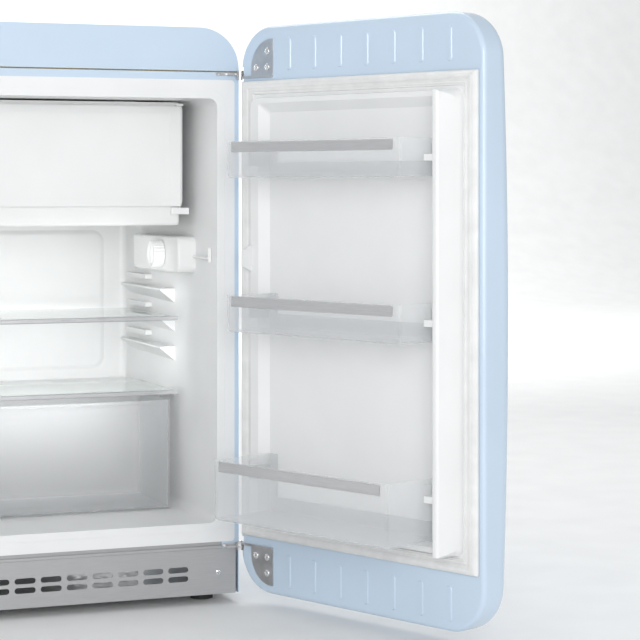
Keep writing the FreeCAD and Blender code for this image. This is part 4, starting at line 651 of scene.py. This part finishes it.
@dataclass
class DoorSeal:
    """The door's magnetic seal: a bellows and a bulb, carried round a rounded frame.

    Attributes:
        door: Where the door stands.
        half_width: Half the outer width.
        middle: Distance from the hinge axis to the seal's upright middle line.
        bottom: Height of the lower outer edge.
        top: Height of the upper outer edge.
        radius: Outer corner radius.
        width_sides: Width of the strip along the sides.
        width_ends: Width of the strip along the top and the bottom.
        base: Depth of its heel behind the door's back face.
        rise: Depth of its crest behind the door's back face.
        bulb: Share of the width that the bulb takes up.
        lip: Lowest share of the height, at both edges.
    """

    door: DoorPlace
    half_width: float = 262.0 * MM
    middle: float = 270.8 * MM
    bottom: float = 100.0 * MM
    top: float = 855.0 * MM
    radius: float = 3.0 * MM
    width_sides: float = 29.5 * MM
    width_ends: float = 23.0 * MM
    base: float = 1.5 * MM
    rise: float = 8.7 * MM
    bulb: float = 0.62
    lip: float = 0.15

    def section(self, steps: int = 40) -> tuple[np.ndarray, np.ndarray]:
        """Half-round bulb, two folds and a flat heel, with a fine groove on each side of the bulb's crest.

        The bulb is a sine raised to a small power, the folds are a cosine, and a steep logistic step blends them.

        Args:
            steps: Points across the strip.

        Returns:
            Share of the width from the outer edge, and height, along one closed loop.
        """
        across = np.linspace(0, 1, steps)
        dome = np.sin(np.clip(across / self.bulb, 0, 1) * math.pi) ** 0.35
        fold = 0.10 * np.cos((across - self.bulb) / (1 - self.bulb) * 2 * FULL_TURN) + 0.42
        blend = 1 / (1 + np.exp(-(across - self.bulb + 0.02) * 60))
        height = (dome * (1 - blend) * 0.96 + fold * blend) * np.clip((1 - across) / 0.04, self.lip, 1)
        height = np.where(across < 0.02, self.lip, height)
        groove = 0.10 * np.exp(-((across - 0.31) / 0.02) ** 2) + 0.05 * np.exp(-((across - 0.12) / 0.012) ** 2)
        upper = self.base + (self.rise - self.base) * np.clip(height - groove, 0.05, 1)
        lower = np.full(steps, self.base)
        return np.concatenate([across, across[::-1]]), np.concatenate([upper, lower])

    def build(self) -> None:
        """Carries the section round the door: each point moves in from the outer edge along the edge's normal."""
        half_height = (self.top - self.bottom) / 2
        edge, normal = rounded_loop(self.half_width, half_height, self.radius, 8)
        across, height = self.section()
        width = self.width_sides * np.abs(normal[:, 0]) ** 2 + self.width_ends * np.abs(normal[:, 1]) ** 2
        inward = edge[:, None, :] - normal[:, None, :] * (across[None, :, None] * width[:, None, None])
        inner_u = self.half_width - across[None, :] * self.width_sides
        inner_v = half_height - across[None, :] * self.width_ends
        inward[..., 0] = np.clip(inward[..., 0], -inner_u, inner_u)
        inward[..., 1] = np.clip(inward[..., 1], -inner_v, inner_v)
        points = np.stack(
            [
                self.middle - inward[..., 0],
                np.broadcast_to(height, inward.shape[:2]),
                inward[..., 1] + (self.top + self.bottom) / 2,
            ],
            axis=-1,
        )
        seal = build_piece("door_seal", [Surface(self.door.stored(points), True, True)], 50.0)
        settle(seal, "door", "white_rubber", SEAL_VINYL, "door_gasket")


@dataclass
class BalconyStrips:
    """Folded brushed strips along the front of the door balconies.

    Attributes:
        door: Where the door stands.
        sheet: Thickness of the strip's sheet.
        hem: Height of the rolled hem along each long edge.
        crown: How far the hems stand proud of the flat.
        end: Radius of the rounded ends.
        edge: Width over which the sheet thins at its long edges.
        columns: Points along the strip.
        rows: Points once round its section.
    """

    door: DoorPlace
    sheet: float = 0.9 * MM
    hem: float = 2.2 * MM
    crown: float = 0.5 * MM
    end: float = 1.5 * MM
    edge: float = 0.5 * MM
    columns: int = 60
    rows: int = 48

    def folded(self, low: np.ndarray, high: np.ndarray) -> np.ndarray:
        """A closed skin round the strip: a flat front between two rolled hems, with rounded ends.

        The front's depth is the sheet's, plus a raised cosine over each hem; both faces draw in to the same line at
        the edges, and the height of the strip falls along a quarter circle at each end.

        Args:
            low: Lowest corner: distance from the hinge axis, depth, height.
            high: Highest corner.

        Returns:
            Array (columns, rows, 3) in the closed door's directions.
        """
        length = high[0] - low[0]
        across = eased(np.linspace(0, 1, self.columns)) * length
        inset = np.minimum(np.minimum(across, length - across), self.end)
        draw_in = self.end - np.sqrt(np.maximum(self.end**2 - (self.end - inset) ** 2, 0))
        round_it = np.linspace(0, 1, self.rows, endpoint=False)
        front = round_it < 0.5
        share = np.where(front, round_it * 2, 2 - round_it * 2)
        half = (high[2] - low[2]) / 2
        reach = (half - draw_in)[:, None] * (share * 2 - 1)[None, :]
        from_edge = half - np.abs(reach)
        hem = self.crown * eased(np.clip(from_edge / self.hem, 0, 1) * 2)
        thick = self.sheet * np.sqrt(np.clip(from_edge / self.edge, 0, 1))
        depth = low[1] + np.where(front[None, :], thick + hem, 0.0)
        place = np.broadcast_to((low[0] + across)[:, None], reach.shape)
        return np.stack([place, depth, (low[2] + high[2]) / 2 + reach], axis=-1)

    def build(self) -> None:
        """One strip for each balcony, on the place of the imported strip."""
        brushed = Brushed(
            "balcony_strip_steel", (0.60, 0.60, 0.61), 0.36, grain=Grain.ACROSS, turn=self.door.angle, metal=0.6
        )
        for balcony in ("top", "middle", "bottom"):
            node = f"{balcony}_balcony_strip"
            corners = self.door.closed(node_points(node))
            points = self.folded(corners.min(axis=0), corners.max(axis=0))
            strip = build_piece(f"{balcony}_folded_strip", [Surface(self.door.stored(points), False, True)], 50.0)
            settle(strip, f"balcony_{balcony}", "brushed", brushed, node)


def node_points(name: str) -> np.ndarray:
    """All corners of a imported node's mesh, as an array (n, 3)."""
    mesh = packed_node(name).data
    flat = np.empty(len(mesh.vertices) * 3, dtype=np.float32)
    mesh.vertices.foreach_get("co", flat)
    return flat.reshape(-1, 3).astype(float)


def packed_node(name: str) -> bpy.types.Object:
    """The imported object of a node."""
    return bpy.data.objects[name]


@dataclass
class Dial:
    """The thermostat's dial: a fluted skirt, a dished face and a raised finger bar.

    Attributes:
        height: How far it stands out from the control unit.
        stem: Radius of its stem.
        stem_reach: How far the stem goes into the control unit.
        flute: Depth of the flutes round the skirt.
        bar_seat: Where the bar's middle lies over the skirt's base.
        bar_half: Half the thickness of the finger bar.
        steps: Points round the dial.
    """

    height: float = 20.0 * MM
    stem: float = 4.0 * MM
    stem_reach: float = 13.5 * MM
    flute: float = 1.4 * MM
    bar_seat: float = 2.7 * MM
    bar_half: float = 2.6 * MM
    steps: int = 192

    def build(self) -> None:
        """Turns the profile about the axis across the cabinet."""
        low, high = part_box("thermostat_dial")
        centre_y, centre_z = (low.y + high.y) / 2, (low.z + high.z) / 2
        radius = (high.y - low.y) / 2
        reach = np.array([0, 0.35, 0.62, 0.72, 0.82, 0.93, 1.0, 1.0, 1.0, 0.98, 0.9]) * radius
        rise = np.array([0.86, 0.86, 0.86, 0.9, 1.0, 1.0, 0.9, 0.5, 0.15, 0.02, 0.0]) * self.height
        lobes = np.array([0, 0, 0, 0, 0, 0.3, 1.0, 1.0, 1.0, 0.2, 0]) * self.flute
        reach = np.append(reach, [self.stem, self.stem, 0])
        rise = np.append(rise, [0.0, -self.stem_reach, -self.stem_reach])
        lobes = np.append(lobes, [0, 0, 0])
        turned = turned_surface(reach, rise, lobes, self.steps, 12)
        face = low.x + self.height
        points = np.stack([face - turned[..., 0], centre_y + turned[..., 1], centre_z + turned[..., 2]], axis=-1)
        bar = self.finger_bar(face - self.height, centre_y, centre_z, radius)
        dial = build_piece("control_dial", [Surface(points, False, True), bar])
        settle(dial, "dial", "white_plastic", BRIGHT_WHITE, "thermostat_dial")

    def finger_bar(self, face: float, centre_y: float, centre_z: float, radius: float) -> Surface:
        """A rounded bar across the face: a flattened egg whose height falls off towards its rim.

        Args:
            face: Where the skirt's base lies, across the cabinet.
            centre_y: Middle of the dial in depth.
            centre_z: Middle of the dial in height.
            radius: Radius of the dial.

        Returns:
            A closed surface, x = face + depth of the bar.
        """
        u = np.linspace(0, math.pi, 15)[:, None]
        v = np.linspace(0, FULL_TURN, 32, endpoint=False)[None, :]
        across = np.sin(u) * np.cos(v) * radius * 0.2
        along = np.cos(u) * radius * 0.74 + 0 * v
        depth = np.sin(u) ** 0.6 * np.sin(v) * self.bar_half
        points = np.stack([face + self.bar_seat + depth, centre_y + across, centre_z + along], axis=-1)
        return Surface(points, False, True)


@dataclass
class Screws:
    """Domed screw heads with a cross recess.

    Attributes:
        door: Where the door stands.
        plate_radius: Heads on the hinge plates.
        plate_rise: Height of those heads.
        plate_seat: Where they sit behind the door's back face.
        grille_radius: Heads on the grille panel.
        grille_rise: Height of those heads.
        grille_seat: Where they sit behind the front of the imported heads.
        rings: Points from the middle of a head to its rim.
        steps: Points round a head.
    """

    door: DoorPlace
    plate_radius: float = 6.0 * MM
    plate_rise: float = 2.9 * MM
    plate_seat: float = 2.0 * MM
    grille_radius: float = 5.3 * MM
    grille_rise: float = 2.8 * MM
    grille_seat: float = 3.2 * MM
    rings: int = 20
    steps: int = 64

    def head(self, radius: float, rise: float) -> np.ndarray:
        """Height over the seat: a dome less a cross that fades out towards the rim.

        Args:
            radius: Radius of the head.
            rise: Height of the head.

        Returns:
            Array (rings, steps, 3): across, rise, up, about the head's middle.
        """
        share = np.linspace(0, 1, self.rings)[:, None]
        angle = np.linspace(0, FULL_TURN, self.steps, endpoint=False)[None, :]
        across, up = share * np.cos(angle), share * np.sin(angle)
        dome = np.sqrt(np.clip(1 - share**2, 0, 1)) ** 0.8
        arm = np.minimum(np.abs(across), np.abs(up))
        cross = 1 / (1 + np.exp((arm - 0.1) * 60)) / (1 + np.exp((share - 0.55) * 40))
        height = dome * rise - cross * rise * 0.6
        return np.stack([across * radius, np.broadcast_to(height, across.shape), up * radius], axis=-1)

    def build(self) -> None:
        """Six on the door's hinge plates and two on the grille panel."""
        heads = []
        shape = self.head(self.plate_radius, self.plate_rise)
        for cluster in self.islands("hinge_plate_screws"):
            across, _, up = self.door.closed(cluster.mean(axis=0))
            points = shape + np.array([across, self.plate_seat, up])
            heads.append(Surface(self.door.stored(points), False, True))
        piece = build_piece("door_plate_screw_heads", heads, 60.0)
        settle(piece, "door", "chrome", CHROME, "hinge_plate_screws")
        heads = []
        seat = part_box("plinth_screws")[0].y + self.grille_seat
        shape = self.head(self.grille_radius, self.grille_rise) * np.array([1, -1, 1])
        for cluster in self.islands("plinth_screws"):
            centre = (cluster.min(axis=0) + cluster.max(axis=0)) / 2
            heads.append(Surface(shape + np.array([centre[0], seat, centre[2]]), False, True))
        piece = build_piece("grille_screw_heads", heads, 60.0)
        settle(piece, "cabinet", "chrome", CHROME, "plinth_screws")

    def islands(self, node: str) -> list[np.ndarray]:
        """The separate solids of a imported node, as arrays of their corners."""
        mesh = bmesh.new()
        mesh.from_mesh(packed_node(node).data)
        bmesh.ops.remove_doubles(mesh, verts=mesh.verts, dist=1e-5)
        groups, left = [], set(mesh.verts)
        while left:
            reached, edge = set(), [next(iter(left))]
            while edge:
                corner = edge.pop()
                if corner in reached:
                    continue
                reached.add(corner)
                edge.extend(link.other_vert(corner) for link in corner.link_edges)
            left -= reached
            groups.append(np.array([corner.co[:] for corner in reached]))
        mesh.free()
        return groups


@dataclass
class RearWallPanel:
    """The raised panel pressed into the rear wall of the cabin.

    Attributes:
        half_width: Half of its width.
        rise: How far it stands off the wall.
        slope: Width of its soft edge.
        corner: Radius of its corners.
        sheet: Thickness of the wall that it is pressed into.
        over_shelf: Gap over the lower shelf.
        under_tray: Gap under the drip tray.
        sunk: How deep its rim is sunk into the wall.
        backing: How far its rear lies behind the wall's face.
        steps: Points along each side.
    """

    half_width: float = 176.0 * MM
    rise: float = 3.5 * MM
    slope: float = 9.0 * MM
    corner: float = 24.0 * MM
    sheet: float = 1.6 * MM
    over_shelf: float = 12.0 * MM
    under_tray: float = 14.0 * MM
    sunk: float = 0.4 * MM
    backing: float = 1.0 * MM
    steps: int = 90

    def build(self) -> None:
        """A sheet whose depth follows the distance to a rounded rectangle, eased by a cosine."""
        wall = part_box("cabin_liner")[1].y - self.sheet
        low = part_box("lower_shelf_glass")[1].z + self.over_shelf
        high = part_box("drip_tray")[0].z - self.under_tray
        middle, half_height = (low + high) / 2, (high - low) / 2
        u = np.linspace(-1, 1, self.steps)[:, None] * self.half_width + np.zeros((1, self.steps))
        v = np.linspace(-1, 1, self.steps)[None, :] * half_height + np.zeros((self.steps, 1))
        over_u = np.abs(u) - (self.half_width - self.corner)
        over_v = np.abs(v) - (half_height - self.corner)
        outside = np.hypot(np.maximum(over_u, 0), np.maximum(over_v, 0)) + np.minimum(np.maximum(over_u, over_v), 0)
        edge = np.clip((self.corner - outside) / self.slope, 0, 1)
        front = np.stack([u, wall - self.rise * eased(edge) + self.sunk, middle + v], axis=-1)
        rear = np.stack([u, np.full_like(u, wall + self.backing), middle + v], axis=-1)
        rim = np.stack([border(front), border(rear)])
        panel = build_piece("rear_wall_panel", [Surface(front), Surface(rear), Surface(rim, False, True)], 50.0)
        settle(panel, "cabinet", "liner_plastic", WHITE_LINER)


@dataclass
class CompressorSeam:
    """The welded seam round the compressor's shell, with the lip of its lower half.

    Attributes:
        rise: How far the seam stands off the shell.
        height: Height of the seam.
        level: Share of the shell's height at which it runs.
        bite: How deep its edges lie in the shell.
        root: How deep its closed back lies in the shell.
        steps: Points round the shell.
    """

    rise: float = 3.0 * MM
    height: float = 7.0 * MM
    level: float = 0.52
    bite: float = 0.5 * MM
    root: float = 2.0 * MM
    steps: int = 128

    def build(self) -> None:
        """A band turned about the upright: its section is half a flattened circle."""
        low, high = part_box("compressor")
        centre_x, centre_y = (low.x + high.x) / 2, (low.y + high.y) / 2
        shell = (high.y - low.y) / 2
        middle = low.z + (high.z - low.z) * self.level
        turn = np.linspace(-math.pi / 2, math.pi / 2, 18)
        reach = shell - self.bite + self.rise * np.cos(turn) ** 0.7
        height = middle + self.height / 2 * np.sin(turn)
        reach = np.append(reach, [shell - self.root, shell - self.root])
        height = np.append(height, [height[-1], height[0]])
        angle = np.linspace(0, FULL_TURN, self.steps, endpoint=False)
        x = centre_x + reach[:, None] * np.cos(angle)
        y = centre_y + reach[:, None] * np.sin(angle)
        z = np.repeat(height[:, None], self.steps, axis=1)
        seam = build_piece("compressor_seam", [Surface(np.stack([x, y, z], axis=-1), True, True)], 50.0)
        settle(seam, "cabinet", "dark_steel", BLACK_SATIN)


@dataclass(frozen=True)
class Lamp:
    """A square soft light that the camera doesn't see.

    Attributes:
        name: Name of the light.
        place: Where it stands.
        aim: What it points at.
        size: Length of its side.
        power: Its strength in watts.
        spread: Whole angle of its beam.
        mirrored: Whether glossy surfaces reflect it.
    """

    name: str
    place: tuple[float, float, float]
    aim: tuple[float, float, float]
    size: float
    power: float
    spread: float = math.pi
    mirrored: bool = True

    def build(self) -> None:
        """Puts the light in place and turns it to its aim."""
        data = bpy.data.lights.new(self.name, "AREA")
        data.size = self.size
        data.spread = self.spread
        data.energy = self.power
        light = bpy.data.objects.new(self.name, data)
        light.visible_glossy = self.mirrored
        light.visible_camera = False
        light.location = self.place
        light.rotation_euler = (Vector(self.aim) - Vector(self.place)).to_track_quat("-Z", "Y").to_euler()
        bpy.context.scene.collection.objects.link(light)
        LOG.info("lit %s", self.name)


LAMPS = (
    Lamp("front", (-0.75, -3.7, 1.0), (0.1, 0.0, 0.45), 1.7, 47.0),
    Lamp("key", (-2.4, -2.6, 2.4), (0.2, -0.2, 0.45), 2.2, 12.0),
    Lamp("fill", (2.6, -3.2, 1.6), (0.2, -0.2, 0.5), 2.2, 10.0),
    Lamp("overhead", (0.3, 1.6, 3.4), (0.3, 2.6, 0.0), 3.0, 70.0),
    Lamp("backdrop", (1.0, 4.6, 4.0), (2.2, 9.0, 1.6), 3.0, 260.0),
    Lamp("cabin_glow", (-0.03, -0.215, 0.42), (0.0, 0.5, 0.42), 0.3, 0.75, spread=2.3, mirrored=False),
)


@dataclass
class Studio:
    """The camera, the pale floor with its sweep, the soft lights and an even sky.

    Attributes:
        eye: Where the camera stands.
        turn: How far it looks to the right of straight ahead, in degrees.
        lens: Focal length in millimetres on a 36 mm sensor.
        lift: Upright shift of the lens.
        gap: How far the floor lies under the feet.
        near: Where the floor begins in depth.
        far: Where the floor begins to bend up.
        bend: Radius of the bend.
        top: Height of the sweep's upright run.
        half_width: Half the width of the sweep.
        sky_colour: Colour of the sky, linear.
        sky_strength: Strength of the sky.
    """

    eye: tuple[float, float, float] = (-0.8548, -3.5543, 0.6819)
    turn: float = 21.24
    lens: float = 116.1
    lift: float = -0.2103
    gap: float = 0.5 * MM
    near: float = -14.0
    far: float = 7.0
    bend: float = 2.5
    top: float = 12.0
    half_width: float = 14.0
    sky_colour: tuple[float, float, float] = (0.96, 0.98, 1.0)
    sky_strength: float = 0.55

    def camera(self) -> None:
        """A level camera with its lens shifted down."""
        data = bpy.data.cameras.new("camera")
        data.sensor_width = 36.0
        data.lens = self.lens
        data.shift_y = self.lift
        camera = bpy.data.objects.new("camera", data)
        camera.location = self.eye
        camera.rotation_euler = (math.pi / 2, 0.0, -math.radians(self.turn))
        bpy.context.scene.collection.objects.link(camera)
        bpy.context.scene.camera = camera

    def sweep(self) -> None:
        """A floor that bends up into a wall: a flat run, a quarter circle and an upright run."""
        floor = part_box("rear_feet")[0].z - self.gap
        arc = np.linspace(0, math.pi / 2, 24)
        depth = np.concatenate([[self.near], self.far + self.bend * np.sin(arc), [self.far + self.bend]])
        height = np.concatenate([[0.0], self.bend - self.bend * np.cos(arc), [self.top]]) + floor
        across = np.array([-self.half_width, self.half_width])
        x = np.repeat(across[None, :], len(depth), axis=0)
        points = np.stack([x, np.repeat(depth[:, None], 2, axis=1), np.repeat(height[:, None], 2, axis=1)], axis=-1)
        sweep = build_piece("studio_sweep", [Surface(points)], 80.0)
        dress(sweep, STUDIO_PAPER)

    def sky(self) -> None:
        """An even, slightly cool sky, shown without a film look."""
        world = bpy.data.worlds.new("studio_sky")
        world.use_nodes = True
        background = world.node_tree.nodes["Background"]
        background.inputs["Color"].default_value = (*self.sky_colour, 1.0)
        background.inputs["Strength"].default_value = self.sky_strength
        bpy.context.scene.world = world
        bpy.context.scene.view_settings.view_transform = "Standard"

    def build(self) -> None:
        """Camera first, then the floor, the lights and the sky."""
        self.camera()
        self.sweep()
        for lamp in LAMPS:
            lamp.build()
        self.sky()


def main() -> None:
    """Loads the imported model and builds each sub-assembly in order."""
    logging.basicConfig(level=logging.INFO, format="%(message)s")
    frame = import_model()
    door = DoorPlace.from_joints(frame["joints"])
    Studio().build()
    PackedShell(frame["nodes"]).build()
    DoorSeal(door).build()
    BalconyStrips(door).build()
    Dial().build()
    Screws(door).build()
    RearWallPanel().build()
    CompressorSeam().build()


if __name__ == "__main__":
    main()
